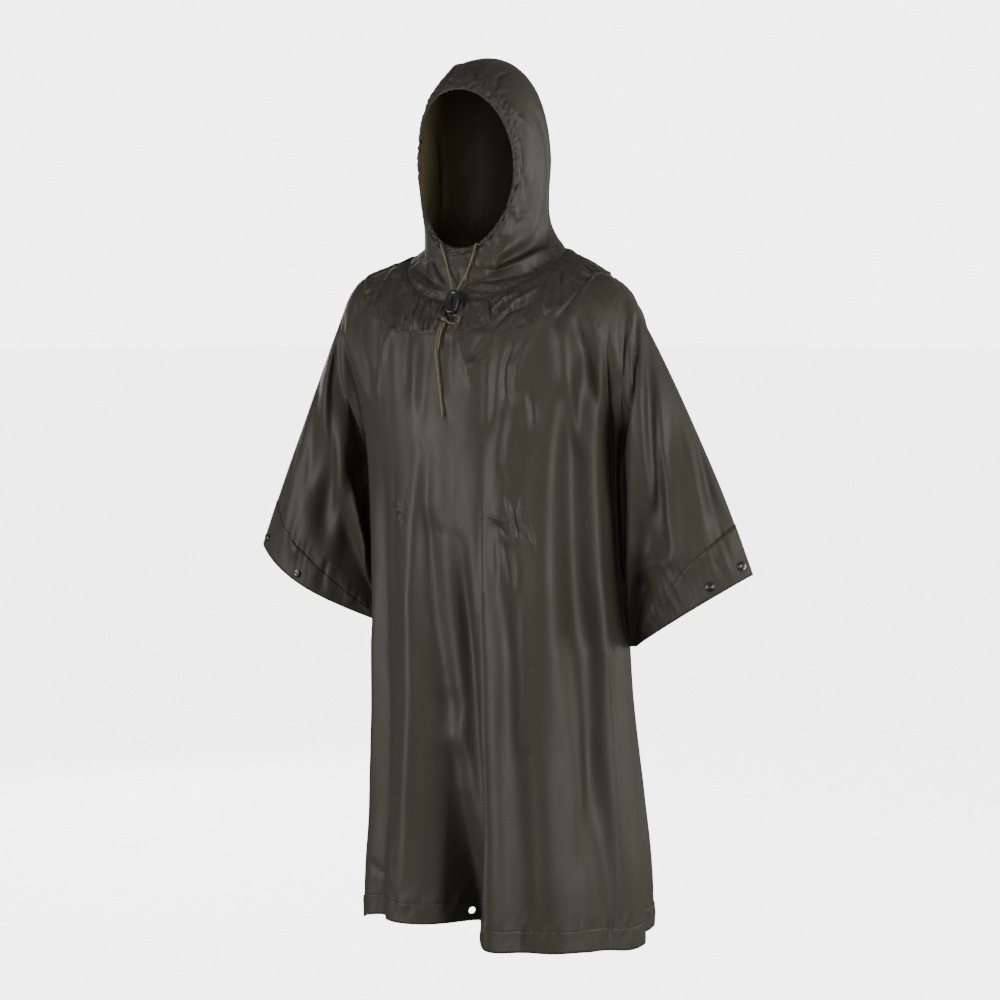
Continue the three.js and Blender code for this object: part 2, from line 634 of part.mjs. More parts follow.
// The casing is one closed ring on both halves, round the edge of the face opening.
function casingGrid() {
  const grid = { points: [], quads: [], seam: [] };
  const count = 2 * hoodColumns;
  for (let k = 0; k < count; k += 1) {
    const column = k <= hoodColumns ? k : count - k;
    const mirror = k <= hoodColumns ? 1 : -1;
    for (let row = 0; row <= 1; row += 1) {
      const point = hoodPoint(hoodAlong(row), hoodTurn(column));
      grid.points.push(point.setX(point.x * mirror));
      grid.seam.push([]);
    }
    const a = 2 * k;
    const b = (2 * k + 2) % (2 * count);
    grid.quads.push([a, a + 1, b + 1, b]);
  }
  grid.normals = gridNormals(grid);
  return grid;
}
const casing = casingGrid();
addPiece('hood_casing', wallGeometry(casing, seamGap, seamGap + casingThickness), colours.band);

// A ring whose section is a table of radius and height, closed on itself
function ringGeometry(section, segments) {
  const profile = section.map(([radius, height]) => new THREE.Vector2(radius, height));
  return new THREE.LatheGeometry([...profile, profile[0].clone()], segments);
}

const grommetSection = [
  [grommet.hole, -grommet.thickness * 0.22],
  [grommet.hole + 0.9, -grommet.thickness / 2],
  [grommet.outer - 1, -grommet.thickness / 2],
  [grommet.outer, -grommet.thickness * 0.28],
  [grommet.outer, grommet.thickness * 0.28],
  [grommet.outer - 1, grommet.thickness / 2],
  [grommet.hole + 0.9, grommet.thickness / 2],
  [grommet.hole, grommet.thickness * 0.22],
];
addPiece(
  'hem_grommet',
  placed(ringGeometry(grommetSection, 24), grommetSeat.place, grommetSeat.direction),
  colours.metal,
  0.4,
  0.9,
);

// Snaps of the cuffs, and how far down the cuff each is on the left and on the right sleeve
const snap = { radius: 7, height: 3.2 };
const snapPlaces = [
  { name: 'tip', left: 0.05, right: 0.06 },
  { name: 'front', left: 0.26, right: 0.4 },
];
const rays = new THREE.Raycaster();
const meshesOf = (names) => poncho.children.filter((mesh) => names.includes(mesh.name));

// The place over a surface where a round flat base rests on the highest point below it.
function restingPlace(names, place, direction, radius) {
  const sideways = new THREE.Vector3(0.31, 0.2, 0.93).cross(direction).normalize();
  let height = -Infinity;
  for (let i = 0; i < 24; i += 1) {
    const from = sideways.clone().applyAxisAngle(direction, (i * Math.PI) / 6);
    from.multiplyScalar(i < 12 ? radius : radius * 0.55).add(place).addScaledVector(direction, 20);
    rays.set(from, direction.clone().negate());
    const hit = rays.intersectObjects(meshesOf(names))[0];
    if (hit) height = Math.max(height, 20 - hit.distance);
  }
  return place.clone().addScaledVector(direction, height + seamGap);
}

function surfaceFrame(pointAt) {
  const place = pointAt(0, 0);
  const across = pointAt(0.05, 0).sub(pointAt(-0.05, 0));
  const down = pointAt(0, 0.05).sub(pointAt(0, -0.05));
  const direction = across.cross(down).normalize();
  if (direction.y > 0) direction.negate();
  return { place, direction };
}
const snapSection = [
  [0, 0],
  [snap.radius, 0],
  [snap.radius, snap.height * 0.35],
  [snap.radius - 0.8, snap.height * 0.62],
  [snap.radius * 0.6, snap.height * 0.7],
  [snap.radius * 0.42, snap.height],
  [0, snap.height],
];
for (const [side, mirror] of [['left', 1], ['right', -1]]) {
  for (const { name, [side]: down } of snapPlaces) {
    const row = yokeRows + down * (underarmRow - yokeRows);
    const seat = surfaceFrame((dc, dr) => sleevePoint('front', mirror, sleeveColumns - 0.25 + dc, row + dr));
    const place = restingPlace([side + '_cuff_front'], seat.place, seat.direction, snap.radius);
    const profile = snapSection.map(([radius, height]) => new THREE.Vector2(radius, height));
    const button = placed(new THREE.LatheGeometry(profile, 18), place, seat.direction);
    addPiece(side + '_cuff_snap_' + name, button, colours.metal, 0.4, 0.85);
  }
}

// Eyelets of the casing, where the two ends of the drawcord come out
const eyelet = { hole: 1.9, outer: 4.2, thickness: 1.5 };
const eyeletSection = [
  [eyelet.hole, 0],
  [eyelet.outer, 0],
  [eyelet.outer, eyelet.thickness * 0.5],
  [eyelet.outer - 0.8, eyelet.thickness],
  [eyelet.hole + 0.5, eyelet.thickness],
  [eyelet.hole, eyelet.thickness * 0.7],
];
const eyeletTurn = 0.36;
const eyeletPlaces = {};
for (const [side, mirror] of [['left', 1], ['right', -1]]) {
  const seat = surfaceFrame((dc, dr) => {
    const point = hoodPoint(casingShare * 0.6 + dr * 0.1, eyeletTurn + dc);
    return point.setX(point.x * mirror);
  });
  const place = restingPlace(['hood_casing'], seat.place, seat.direction, eyelet.outer);
  const ring = placed(ringGeometry(eyeletSection, 14), place, seat.direction);
  eyeletPlaces[side] = place.clone().addScaledVector(seat.direction, eyelet.thickness + 2 * seamGap);
  addPiece('hood_eyelet_' + side, ring, colours.metal, 0.35, 0.9);
}

// Cord lock: an oval block with a slot in its face, hanging on the yoke
const cordLock = { x: 5.7, y: -152, z: -68, halfWidth: 11.5, halfHeight: 18.5, thickness: 10.5, power: 2.6 };
function cordLockGeometry() {
  const bevel = 2.8;
  const oval = [];
  for (let i = 0; i < 28; i += 1) {
    const [c, sn] = [Math.cos((i * Math.PI) / 14), Math.sin((i * Math.PI) / 14)];
    const reach = (value, half) => Math.sign(value) * Math.abs(value) ** (2 / cordLock.power) * (half - bevel);
    oval.push(new THREE.Vector2(reach(c, cordLock.halfWidth), reach(sn, cordLock.halfHeight)));
  }
  const body = new THREE.ExtrudeGeometry(new THREE.Shape(oval), {
    depth: cordLock.thickness - 2 * bevel,
    bevelThickness: bevel,
    bevelSize: bevel,
    bevelSegments: 3,
    steps: 1,
  });
  body.translate(0, 0, -cordLock.thickness / 2 + bevel);
  const slot = new THREE.BoxGeometry(5, 13, 5).translate(0, 3.5, cordLock.thickness / 2);
  const cut = geometryOf(solidOf(body).subtract(solidOf(slot)));
  return cut.rotateX(Math.PI / 2 - 0.3).translate(cordLock.x, cordLock.y, cordLock.z);
}
addPiece('cord_lock', cordLockGeometry(), colours.plastic, 0.45);

// A cord through points, 8 sided and closed at both ends
function cordGeometry(points) {
  const path = lineCurve(points);
  const section = [];
  for (let i = 0; i < 8; i += 1) {
    const angle = (i * Math.PI) / 4;
    section.push(new THREE.Vector2(Math.cos(angle), Math.sin(angle)).multiplyScalar(cordDiameter / 2));
  }
  return new THREE.ExtrudeGeometry(new THREE.Shape(section), {
    steps: Math.max(4, Math.round(path.getLength() / (2.6 * cordDiameter))),
    extrudePath: path,
    bevelEnabled: false,
  });
}

// Stands a point of a cord in front of the cloth, seen from the front.
const chest = ['front_panel', 'front_yoke', 'hood_left', 'hood_right', 'hood_casing'];
function inFront(x, z, away) {
  rays.set(new THREE.Vector3(x, -400, z), new THREE.Vector3(0, 1, 0));
  const hit = rays.intersectObjects(meshesOf(chest))[0];
  return { x, y: hit.point.y - cordDiameter / 2 - away, z };
}
const knot = { x: -5.6, z: -93, radius: 4.3 };
const knotY = inFront(knot.x, knot.z, 3.8).y;
const lockEntry = { left: cordLock.x + 5, right: cordLock.x - 5, topZ: -49.2, topY: -146.6, bottomZ: -86.6, bottomY: -157.6 };
for (const side of ['left', 'right']) {
  const start = eyeletPlaces[side];
  const end = lockEntry[side];
  addPiece(
    'drawcord_' + side,
    cordGeometry([
      start,
      { x: start.x, y: start.y - 2.6, z: start.z - 0.8 },
      inFront(lerp(start.x, end, 0.22), lerp(start.z, lockEntry.topZ, 0.25), 2.6),
      inFront(lerp(start.x, end, 0.56), lerp(start.z, lockEntry.topZ, 0.6), 2),
      { x: end, y: lockEntry.topY, z: lockEntry.topZ },
    ]),
    colours.cord,
    0.8,
  );
}
addPiece(
  'drawcord_loop',
  cordGeometry([
    { x: lockEntry.left, y: lockEntry.bottomY, z: lockEntry.bottomZ },
    { x: 16, y: lockEntry.bottomY, z: -88.2 },
    { x: 21, y: lockEntry.bottomY - 0.8, z: -92.5 },
    inFront(18.5, -98, 2),
    inFront(9, -99.5, 2),
    inFront(3, -97.5, 2.4),
    { x: knot.x + 4.6, y: knotY, z: knot.z - 1.4 },
  ]),
  colours.cord,
  0.8,
);
const freeEnds = {
  long: [[-6.4, -98.2], [-8.4, -107], [-10, -118], [-11.2, -140], [-6.5, -162], [-1.3, -192], [3.3, -221], [5.6, -239]],
  short: [[-2.8, -97.8], [-4.6, -107], [-6.2, -118], [-7.2, -138]],
};
for (const [name, line] of Object.entries(freeEnds)) {
  const points = line.map(([x, z], i) => (i === 0 ? { x, y: knotY, z } : inFront(x, z, 1.8)));
  addPiece('drawcord_end_' + name, cordGeometry(points), colours.cord, 0.8);
}
addPiece(
  'drawcord_knot',
  new THREE.SphereGeometry(knot.radius, 12, 8).scale(1, 0.85, 1.12).translate(knot.x, knotY, knot.z),
  colours.cord,
  0.8,
);

export default poncho;
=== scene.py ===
import bpy, bmesh, math
from bisect import bisect_right
from mathutils import Matrix, Vector, noise
from mathutils.bvhtree import BVHTree
from types import SimpleNamespace


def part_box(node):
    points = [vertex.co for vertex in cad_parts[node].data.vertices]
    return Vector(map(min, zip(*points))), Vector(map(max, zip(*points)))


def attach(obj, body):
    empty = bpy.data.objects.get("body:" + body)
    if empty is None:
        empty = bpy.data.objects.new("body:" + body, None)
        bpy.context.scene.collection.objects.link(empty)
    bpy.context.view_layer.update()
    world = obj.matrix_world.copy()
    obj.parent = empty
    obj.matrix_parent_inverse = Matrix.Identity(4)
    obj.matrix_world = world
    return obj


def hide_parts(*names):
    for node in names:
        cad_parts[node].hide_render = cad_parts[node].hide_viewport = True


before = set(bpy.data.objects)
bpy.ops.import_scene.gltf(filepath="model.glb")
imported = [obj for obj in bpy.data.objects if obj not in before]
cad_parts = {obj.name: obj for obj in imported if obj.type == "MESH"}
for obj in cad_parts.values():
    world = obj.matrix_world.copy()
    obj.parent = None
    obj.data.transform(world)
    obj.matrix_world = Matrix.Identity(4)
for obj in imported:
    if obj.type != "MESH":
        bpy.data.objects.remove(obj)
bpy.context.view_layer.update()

# Camera at the photograph's angle
cameraLook = {"azimuth": 30.0, "elevation": 5.0, "distance": 3.7, "target": (0.0, 0.0, -0.378), "lens": 84.8,
              "sensor": 36.0, "farthest": 200.0}


def aimed(name, data, azimuth, elevation, distance, target):
    # a camera or lamp on a sphere round its target, turned towards it
    turn, rise = math.radians(azimuth), math.radians(elevation)
    back = Vector((math.sin(turn) * math.cos(rise), -math.cos(turn) * math.cos(rise), math.sin(rise)))
    holder = bpy.data.objects.new(name, data)
    holder.location = Vector(target) + back * distance
    holder.rotation_euler = back.to_track_quat("Z", "Y").to_euler()
    bpy.context.collection.objects.link(holder)
    return holder


def addCamera(look):
    data = bpy.data.cameras.new("camera")
    data.lens, data.sensor_width, data.clip_end = look["lens"], look["sensor"], look["farthest"]
    place = [look[key] for key in ("azimuth", "elevation", "distance", "target")]
    bpy.context.scene.camera = aimed("camera", data, *place)


addCamera(cameraLook)
print("camera set")


# Shapes are worked out in millimetres and stored in metres
toMetres = 0.001


def lerp(a, b, t):
    return a + (b - a) * t


def clamp(value, low, high):
    return max(low, min(high, value))


def smooth(x, low, high):
    t = clamp((x - low) / (high - low), 0.0, 1.0)
    return t * t * (3 - 2 * t)


def rows(names, *values):
    return [dict(zip(names.split(), row)) for row in values]


def curveReader(table, key, column):
    # one column of a table read as a smooth curve of another
    down = -1 if table[0][key] > table[-1][key] else 1
    at = [row[key] * down for row in table]
    value = [row[column] for row in table]
    last = len(at) - 1
    slope = [(value[min(k + 1, last)] - value[max(k - 1, 0)]) / (at[min(k + 1, last)] - at[max(k - 1, 0)])
             for k in range(last + 1)]

    def read(place):
        place = clamp(place * down, at[0], at[last])
        i = clamp(bisect_right(at, place) - 1, 0, last - 1)
        step = at[i + 1] - at[i]
        t = (place - at[i]) / step
        t2, t3 = t * t, t * t * t
        return ((2 * t3 - 3 * t2 + 1) * value[i] + (t3 - 2 * t2 + t) * step * slope[i]
                + (3 * t2 - 2 * t3) * value[i + 1] + (t3 - t2) * step * slope[i + 1])

    return read


def readers(table, key, columns):
    return {column: curveReader(table, key, column) for column in columns.split()}


def lineReader(points):
    # a smooth line through points, read by its share from 0 to 1
    points = [Vector(p) for p in points]
    ring = [points[0] * 2 - points[1]] + points + [points[-1] * 2 - points[-2]]

    def read(share):
        place = clamp(share, 0.0, 1.0) * (len(points) - 1)
        i = min(int(place), len(points) - 2)
        a, b, c, d = ring[i:i + 4]
        t = place - i
        s0, s1, s2 = [max((q - p).length, 1e-6) ** 0.5 for p, q in ((a, b), (b, c), (c, d))]
        m1 = ((b - a) / s0 - (c - a) / (s0 + s1) + (c - b) / s1) * s1
        m2 = ((c - b) / s1 - (d - b) / (s1 + s2) + (d - c) / s2) * s1
        return b + m1 * t + (3 * (c - b) - 2 * m1 - m2) * t * t + (2 * (b - c) + m1 + m2) * t * t * t

    return read


def finishMesh(name, bm, materials, replaces, thickness=0.0, offset=-1.0):
    # a finished piece: in metres, at the origin, riding on the part's one body
    bmesh.ops.transform(bm, matrix=Matrix.Scale(toMetres, 4), verts=bm.verts)
    mesh = bpy.data.meshes.new(name)
    for face in bm.faces:
        face.smooth = True
    bm.to_mesh(mesh)
    bm.free()
    piece = bpy.data.objects.new(name, mesh)
    bpy.context.collection.objects.link(piece)
    for material in materials:
        mesh.materials.append(material)
    if thickness:
        wall = piece.modifiers.new("wall", "SOLIDIFY")
        wall.thickness, wall.offset = thickness * toMetres, offset
        wall.material_offset = 1
    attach(piece, "root")
    if replaces:
        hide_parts(*replaces)
    return piece


# Materials
def newMaterial(name):
    # a material, with short ways to add its nodes and join them
    material = bpy.data.materials.new(name)
    material.use_nodes = True
    nodes, links = material.node_tree.nodes, material.node_tree.links

    def join(value, socket):
        # a constant, an output, or a node for its first output
        if isinstance(value, bpy.types.Node):
            value = value.outputs[0]
        if isinstance(value, bpy.types.NodeSocket):
            links.new(value, socket)
        else:
            socket.default_value = value

    def add(kind, values):
        node = nodes.new("ShaderNode" + kind)
        for key, value in values.items():
            if isinstance(key, str) and hasattr(node, key):
                setattr(node, key, value)
            else:
                join(value, node.inputs[key])
        return node

    def calc(operation, *values):
        return add("Math", {"operation": operation, **dict(enumerate(values))})

    def blend(factor, low, high, way="MIX"):
        colours = {"data_type": "RGBA", "blend_type": way, 0: factor, 6: low, 7: high}
        return add("Mix", colours).outputs[2]

    def grain(values, stretch=(1.0, 1.0, 1.0)):
        # noise over the object's own coordinates
        place = add("Mapping", {"Vector": add("TexCoord", {}).outputs["Object"], "Scale": stretch})
        return add("TexNoise", {"Vector": place, **values})

    def shade(values):
        for key, value in values.items():
            join(value, nodes["Principled BSDF"].inputs[key])

    def letThrough(share, colour):
        # thin cloth lets a little light through
        through = add("BsdfTranslucent", {"Color": colour})
        both = add("MixShader", {0: share, 1: nodes["Principled BSDF"], 2: through})
        join(both, nodes["Material Output"].inputs["Surface"])

    return SimpleNamespace(made=material, add=add, calc=calc, blend=blend, grain=grain, shade=shade,
                           letThrough=letThrough)


clothFinish = {
    "outside": {"light": (0.054, 0.051, 0.036, 1), "dark": (0.042, 0.040, 0.028, 1),
                "roughness": 0.535, "sheen": 0.1},
    # inside: the coating's own olive-brown, made brighter with painted light that stands in for light falling
    # into the hood
    "inside": {"light": (0.124, 0.108, 0.055, 1), "dark": (0.096, 0.083, 0.042, 1),
               "roughness": 0.44, "sheen": 0.05},
    "gridSize": 0.005, "gridLine": (0.34, 0.444), "gridShare": 0.5, "gridTone": (1.35, 1.35, 1.32, 1),
    "gridRaised": 0.10, "threads": 0.0007, "weaveRaised": 0.02, "through": 0.12,
    "patches": {"Scale": 7.0, "Detail": 3.0, "Roughness": 0.55},
    "creases": {"Scale": 60.0, "Detail": 3.0, "Roughness": 0.45, "Distortion": 0.3},
    "drawnDown": (1.0, 1.0, 0.3), "uneven": (-0.05, 0.07),
    "weaveBump": {"Strength": 0.6, "Distance": 0.0006}, "creaseBump": {"Strength": 0.35, "Distance": 0.0011},
}


def clothMaterial(name, side, finish=clothFinish):
    # ripstop weave: a 5 mm grid of doubled threads in a plain weave, with a satin coating
    kit, look = newMaterial(name), finish[side]
    cut = kit.add("SeparateXYZ", {0: kit.add("UVMap", {"uv_map": "cut"})})
    lines, threads = [], []
    for axis in (0, 1):
        wave = kit.calc("FRACT", kit.calc("DIVIDE", cut.outputs[axis], finish["gridSize"]))
        away = kit.calc("ABSOLUTE", kit.calc("SUBTRACT", wave, 0.5))
        inner, outer = finish["gridLine"]
        lines.append(kit.add("MapRange", {"interpolation_type": "SMOOTHSTEP", "Value": away,
                                          "From Min": inner, "From Max": outer}))
        turns = kit.calc("MULTIPLY", cut.outputs[axis], math.tau / finish["threads"])
        threads.append(kit.calc("SINE", turns))
    grid, weave = kit.calc("MAXIMUM", *lines), kit.calc("MULTIPLY", *threads)
    patches = kit.blend(kit.grain(finish["patches"]), look["dark"], look["light"])
    gridShare = kit.calc("MULTIPLY", grid, finish["gridShare"])
    colour = kit.blend(gridShare, patches, finish["gridTone"], "MULTIPLY")
    # handling creases: fine folds drawn out down the cloth
    creases = kit.grain(finish["creases"], finish["drawnDown"])
    low, high = [look["roughness"] + part for part in finish["uneven"]]
    height = kit.calc("ADD", kit.calc("MULTIPLY", grid, finish["gridRaised"]),
                      kit.calc("MULTIPLY", weave, finish["weaveRaised"]))
    weaveBump = kit.add("Bump", {"Height": height, **finish["weaveBump"]})
    kit.shade({"Base Color": colour,
               "Roughness": kit.add("MapRange", {"Value": creases, "To Min": low, "To Max": high}),
               "Normal": kit.add("Bump", {"Height": creases, "Normal": weaveBump, **finish["creaseBump"]}),
               "Sheen Weight": look["sheen"], "Sheen Roughness": 0.35, "Sheen Tint": (0.75, 0.72, 0.6, 1),
               "Specular IOR Level": 0.5})
    kit.letThrough(finish["through"], colour)
    return kit.made


def threadMaterial(name, colour):
    # sewing thread, a little darker and paler along its twist
    kit = newMaterial(name)
    twist = kit.grain({"Scale": 900.0, "Detail": 2.0})
    dark, light = [tuple(c * share for c in colour) + (1,) for share in (0.75, 1.2)]
    kit.shade({"Base Color": kit.blend(twist, dark, light), "Roughness": 0.75, "Specular IOR Level": 0.3})
    return kit.made


def cordMaterial(name, strandsAlong=480.0, strandsRound=4.0):
    # braided khaki cord: strands in two directions round the cord, from its own UV map
    kit = newMaterial(name)
    place = kit.add("SeparateXYZ", {0: kit.add("UVMap", {"uv_map": "braid"})})
    strands = []
    for sign in (1, -1):
        lean = kit.calc("ADD", kit.calc("MULTIPLY", place.outputs[0], strandsAlong),
                        kit.calc("MULTIPLY", place.outputs[1], strandsRound * sign))
        strands.append(kit.calc("ABSOLUTE", kit.calc("SUBTRACT", kit.calc("FRACT", lean), 0.5)))
    braid = kit.calc("MULTIPLY", kit.calc("MAXIMUM", *strands), 2.0)
    relief = kit.add("Bump", {"invert": True, "Height": braid, "Strength": 0.8, "Distance": 0.0003})
    # painted shade: the grooves between the braid's strands, where the bump sinks them, are coloured darker
    kit.shade({"Base Color": kit.blend(braid, (0.24, 0.20, 0.085, 1), (0.125, 0.105, 0.042, 1)),
               "Normal": relief, "Roughness": 0.7, "Sheen Weight": 0.4})
    return kit.made


def hardMaterial(name, light, dark, roughness, metal, scale):
    # moulded plastic or blackened metal, with fine grain and smudges
    kit = newMaterial(name)
    grain = kit.grain({"Scale": scale, "Detail": 5.0, "Roughness": 0.65})
    smudge = kit.grain({"Scale": scale * 0.12, "Detail": 2.0})
    uneven = {"Value": grain, "To Min": roughness - 0.08, "To Max": roughness + 0.12}
    kit.shade({"Base Color": kit.blend(smudge, dark, light), "Roughness": kit.add("MapRange", uneven),
               "Normal": kit.add("Bump", {"Height": grain, "Strength": 0.25, "Distance": 0.0002}),
               "Metallic": metal})
    return kit.made


clothOut = clothMaterial("ripstopOutside", "outside")
# the inside's colour is partly painted light: brighter than the coating, so the hood's interior looks lit
clothInsidePaintedLight = clothMaterial("ripstopCoatingPaintedLight", "inside")
thread = threadMaterial("seamThread", (0.036, 0.033, 0.023))
khakiCord = cordMaterial("khakiBraid")
blackPlastic = hardMaterial("blackPlastic", (0.022, 0.022, 0.024, 1), (0.012, 0.012, 0.013, 1),
                            0.34, 0.0, 900.0)
darkMetal = hardMaterial("gunMetal", (0.16, 0.15, 0.14, 1), (0.07, 0.066, 0.062, 1), 0.32, 1.0, 700.0)
print("materials made")

# Drawcord: each stretch's node, how it lies, how it ends, and the points of its middle line
cordLook = {"diameter": 2.5, "around": 12, "step": 0.8, "strands": 8, "relief": 0.10,
            "lean": 2.2, "tip": 0.86}
cordStretches = {
    "left": ("drawcord_left", "hanging", "object",
             ((30.9, -123.82, 19.66), (30.9, -126.42, 18.86), (26.46, -128.04, 2.44), (19.59, -133.1, -21.66),
              (10.7, -146.6, -49.2))),
    "right": ("drawcord_right", "hanging", "object",
              ((-30.9, -123.84, 19.67), (-30.9, -126.44, 18.87), (-23.95, -128.2, 2.45),
               (-13.21, -133.72, -21.65), (0.7, -146.6, -49.2))),
    "loop": ("drawcord_loop", "loose", "knot",
             ((10.7, -157.6, -86.6), (16, -157.6, -88.2), (21, -158.4, -92.5), (18.5, -161.53, -98),
              (9, -162.71, -99.5), (3, -162.05, -97.5), (-1, -160.9, -94.4))),
    "long": ("drawcord_end_long", "hanging", "bare",
             ((-6.4, -160.9, -98.2), (-8.4, -166.73, -107), (-10, -169.81, -118), (-11.2, -174.34, -140),
              (-6.5, -177.9, -162), (-1.3, -180.48, -192), (3.3, -182.15, -221), (5.6, -183.19, -239))),
    "short": ("drawcord_end_short", "hanging", "bare",
              ((-2.8, -160.9, -97.8), (-4.6, -166.77, -107), (-6.2, -169.86, -118), (-7.2, -174.08, -138))),
}


def pathPoints(points, step, fineness=400):
    # points an even step apart on the smooth line, and its length
    read = lineReader(points)
    fine = [read(i / fineness) for i in range(fineness + 1)]
    length = sum((b - a).length for a, b in zip(fine, fine[1:]))
    count = max(4, round(length / step))
    path, walked, k = [fine[0]], 0.0, 1
    for i in range(fineness):
        walked += (fine[i + 1] - fine[i]).length
        while k < count and walked >= length * k / count:
            path.append(fine[i + 1].copy())
            k += 1
    return path + [fine[-1]], length


def addTube(name, points, look, replaces):
    # a grid rolled round the line, with the strands of the braid standing out a little
    path, length = pathPoints(points, look["step"])
    around, count = look["around"], len(path) - 1
    bm = bmesh.new()
    bmesh.ops.create_grid(bm, x_segments=around, y_segments=count, size=0.5)
    uv = bm.loops.layers.uv.new("braid")
    for face in bm.faces:
        for loop in face.loops:
            loop[uv].uv = ((loop.vert.co.y + 0.5) * length * toMetres, loop.vert.co.x + 0.5)
    side = Vector((0, 0, 1)).cross(path[1] - path[0])
    side = side.normalized() if side.length > 0.1 else Vector((1, 0, 0))
    frames = []
    for i, point in enumerate(path):
        ahead = (path[min(i + 1, count)] - path[max(i - 1, 0)]).normalized()
        side = (side - ahead * side.dot(ahead)).normalized()
        frames.append((point, side.copy(), ahead.cross(side)))
    for vert in bm.verts:
        i, turn = round((vert.co.y + 0.5) * count), (vert.co.x + 0.5) * math.tau
        point, across, up = frames[i]
        lean = i * look["step"] * look["lean"]
        relief = math.cos(turn * look["strands"] / 2 + lean) * math.cos(turn * look["strands"] / 2 - lean)
        radius = look["diameter"] / 2 * (1 + look["relief"] * (relief - 0.5))
        if i in (0, count):
            radius *= look["tip"]
        vert.co = point + (across * math.cos(turn) + up * math.sin(turn)) * radius
    bmesh.ops.remove_doubles(bm, verts=bm.verts, dist=0.01)
    bmesh.ops.holes_fill(bm, edges=[e for e in bm.edges if e.is_boundary])
    bmesh.ops.recalc_face_normals(bm, faces=bm.faces)
    piece = finishMesh(name, bm, [khakiCord], replaces)
    return piece, [tuple(p * toMetres) for p in path], length * toMetres


for label, (node, _, _, points) in cordStretches.items():
    addTube("cord" + label.capitalize(), points, cordLook, [node])
print("cords laid")

# The garment's own form
hemHeight, underarmHeight = -1050, -600
hemBandWidth, cuffBandWidth, sleeveLength = 35, 37, 330
hoodLoops = rows(
    "at nearY nearZ farY farZ halfWidth bow lift",
    (0.0, -119, 14, -130, 250, 82, 22, 0), (0.09, -124, 5, -114, 275, 88, 22, 0),
    (0.22, -127, -6, -76, 297, 94, 18, 0), (0.36, -130, -17, -22, 303, 96, 12, 0),
    (0.5, -132, -28, 26, 276, 98, 6, 0), (0.62, -134, -38, 50, 214, 98, 2, 0),
    (0.74, -136, -47, 50, 140, 95, 0, 3), (0.87, -138, -56, 44, 72, 103, 0, 12),
    (1.0, -139, -66, 48, 16, 130, 0, 24))
bodySections = rows(
    "z front back middleX middleY",
    (-60, 152, 112, 0, 0), (-130, 168, 146, 0, 0), (-200, 178, 160, 0, 0), (-303, 182, 168, 0, 0),
    (-450, 182, 170, 0, 0), (-600, 180, 170, 2, 0), (-700, 182, 174, 5, 1), (-850, 188, 186, 8, 6),
    (-950, 194, 194, 8, 8), (-1050, 196, 200, 8, 8))
armholeSections = rows(
    "z x frontY backY",
    (-48, 236, -45.5, -45.5), (-84, 239, -80, 2), (-130, 234, -86, 30), (-200, 225, -66, 60),
    (-303, 215, -34, 86),
    (-400, 211, -20, 92), (-500, 209, -4, 84), (-560, 208, 14, 66), (-600, 207, 38, 38))
sideSections = rows("z x y", (-600, 207, 38), (-700, 209, 36), (-850, 221, 32), (-950, 231, 28),
                    (-1050, 234, 26))
shoulderLine = lineReader([(204, -45.5, -24), (221, -45.5, -34), (236, -45.5, -48)])
armLine = lineReader([(236, -45.5, -48), (253, -43, -68), (271, -40, -98), (310, -32, -172), (355, -25, -266),
                      (398, -21, -360), (442, -20, -468)])
yokeEdge = {"middleY": -45.5, "side": 204, "sideZ": -24, "front": 120.5, "frontZ": -114,
            "back": 134, "backZ": -26}
sleeveTip, sleeveBottom = Vector((442, -20, -468)), Vector((222, 36, -598))
cuffShape = {"front": {"swell": 52, "rise": -5}, "back": {"swell": 30, "rise": 18}}
hemLine = {
    "front": rows("across up", (-1, -9), (-0.8, -8), (-0.6, 3), (-0.42, 22), (-0.2, 27), (0.04, 26), (0.2, 6),
                  (0.36, 0), (0.6, -1), (0.85, -12), (1, -14)),
    "back": rows("across up", (-1, -9), (-0.86, -5), (-0.72, 8), (-0.5, 26), (-0.25, 28), (0, 18), (0.25, 6),
                 (0.5, -3),
                 (0.8, -13), (1, -14)),
}
foldColumns = "topZ arcTop outTop rightTop leftTop baseZ arc out right left"
bodyFolds = {
    "front": rows(
        foldColumns,
        (-360, -24, -7, 16, 26, -700, -4, -26, 34, 24), (-700, -4, 0, 34, 24, -1050, 26, -96, 42, 20),
        (-260, -58, 4, 22, 20, -1050, -84, 10, 40, 30), (-200, 62, 4, 22, 18, -1050, 66, 15, 16, 22),
        (-150, 84, -5, 16, 16, -520, 84, -9, 18, 18), (-170, 126, -3, 18, 18, -500, 108, -9, 20, 22),
        (-480, 108, -6, 22, 24, -1050, 116, -11, 26, 28), (-110, 158, 7, 16, 16, -560, 164, 9, 24, 24),
        (-110, 186, -7, 15, 15, -1050, 252, -15, 34, 30), (-130, 212, 8, 16, 14, -600, 272, 8, 20, 20),
        (-240, -112, -5, 18, 18, -1050, -128, -12, 20, 22), (-300, -152, 6, 20, 20, -1050, -172, 9, 26, 26)),
    "back": rows(
        foldColumns,
        (-120, -205, -6, 18, 18, -1050, -238, -15, 26, 26), (-90, -150, 6, 18, 20, -1050, -182, 12, 24, 26),
        (-110, -96, -7, 17, 18, -1050, -118, -22, 26, 24), (-140, -44, 5, 18, 18, -1050, -56, 12, 24, 26),
        (-220, 4, -5, 18, 18, -1050, 8, -18, 24, 26), (-130, 50, 5, 18, 18, -1050, 66, 12, 26, 24),
        (-100, 104, -7, 18, 18, -1050, 128, -22, 24, 26), (-120, 156, 6, 18, 20, -1050, 190, 12, 26, 24),
        (-150, 210, -6, 18, 18, -1050, 246, -14, 26, 26)),
}
sleeveFolds = rows("acrossTop acrossEnd start end out width", (0.2, 0.3, 0.05, 0.9, -13, 0.1),
                   (0.36, 0.52, 0.05, 1.0, 10, 0.11), (0.55, 0.74, 0.1, 1.0, -9, 0.1),
                   (0.78, 0.94, 0.1, 1.0, 6, 0.1))

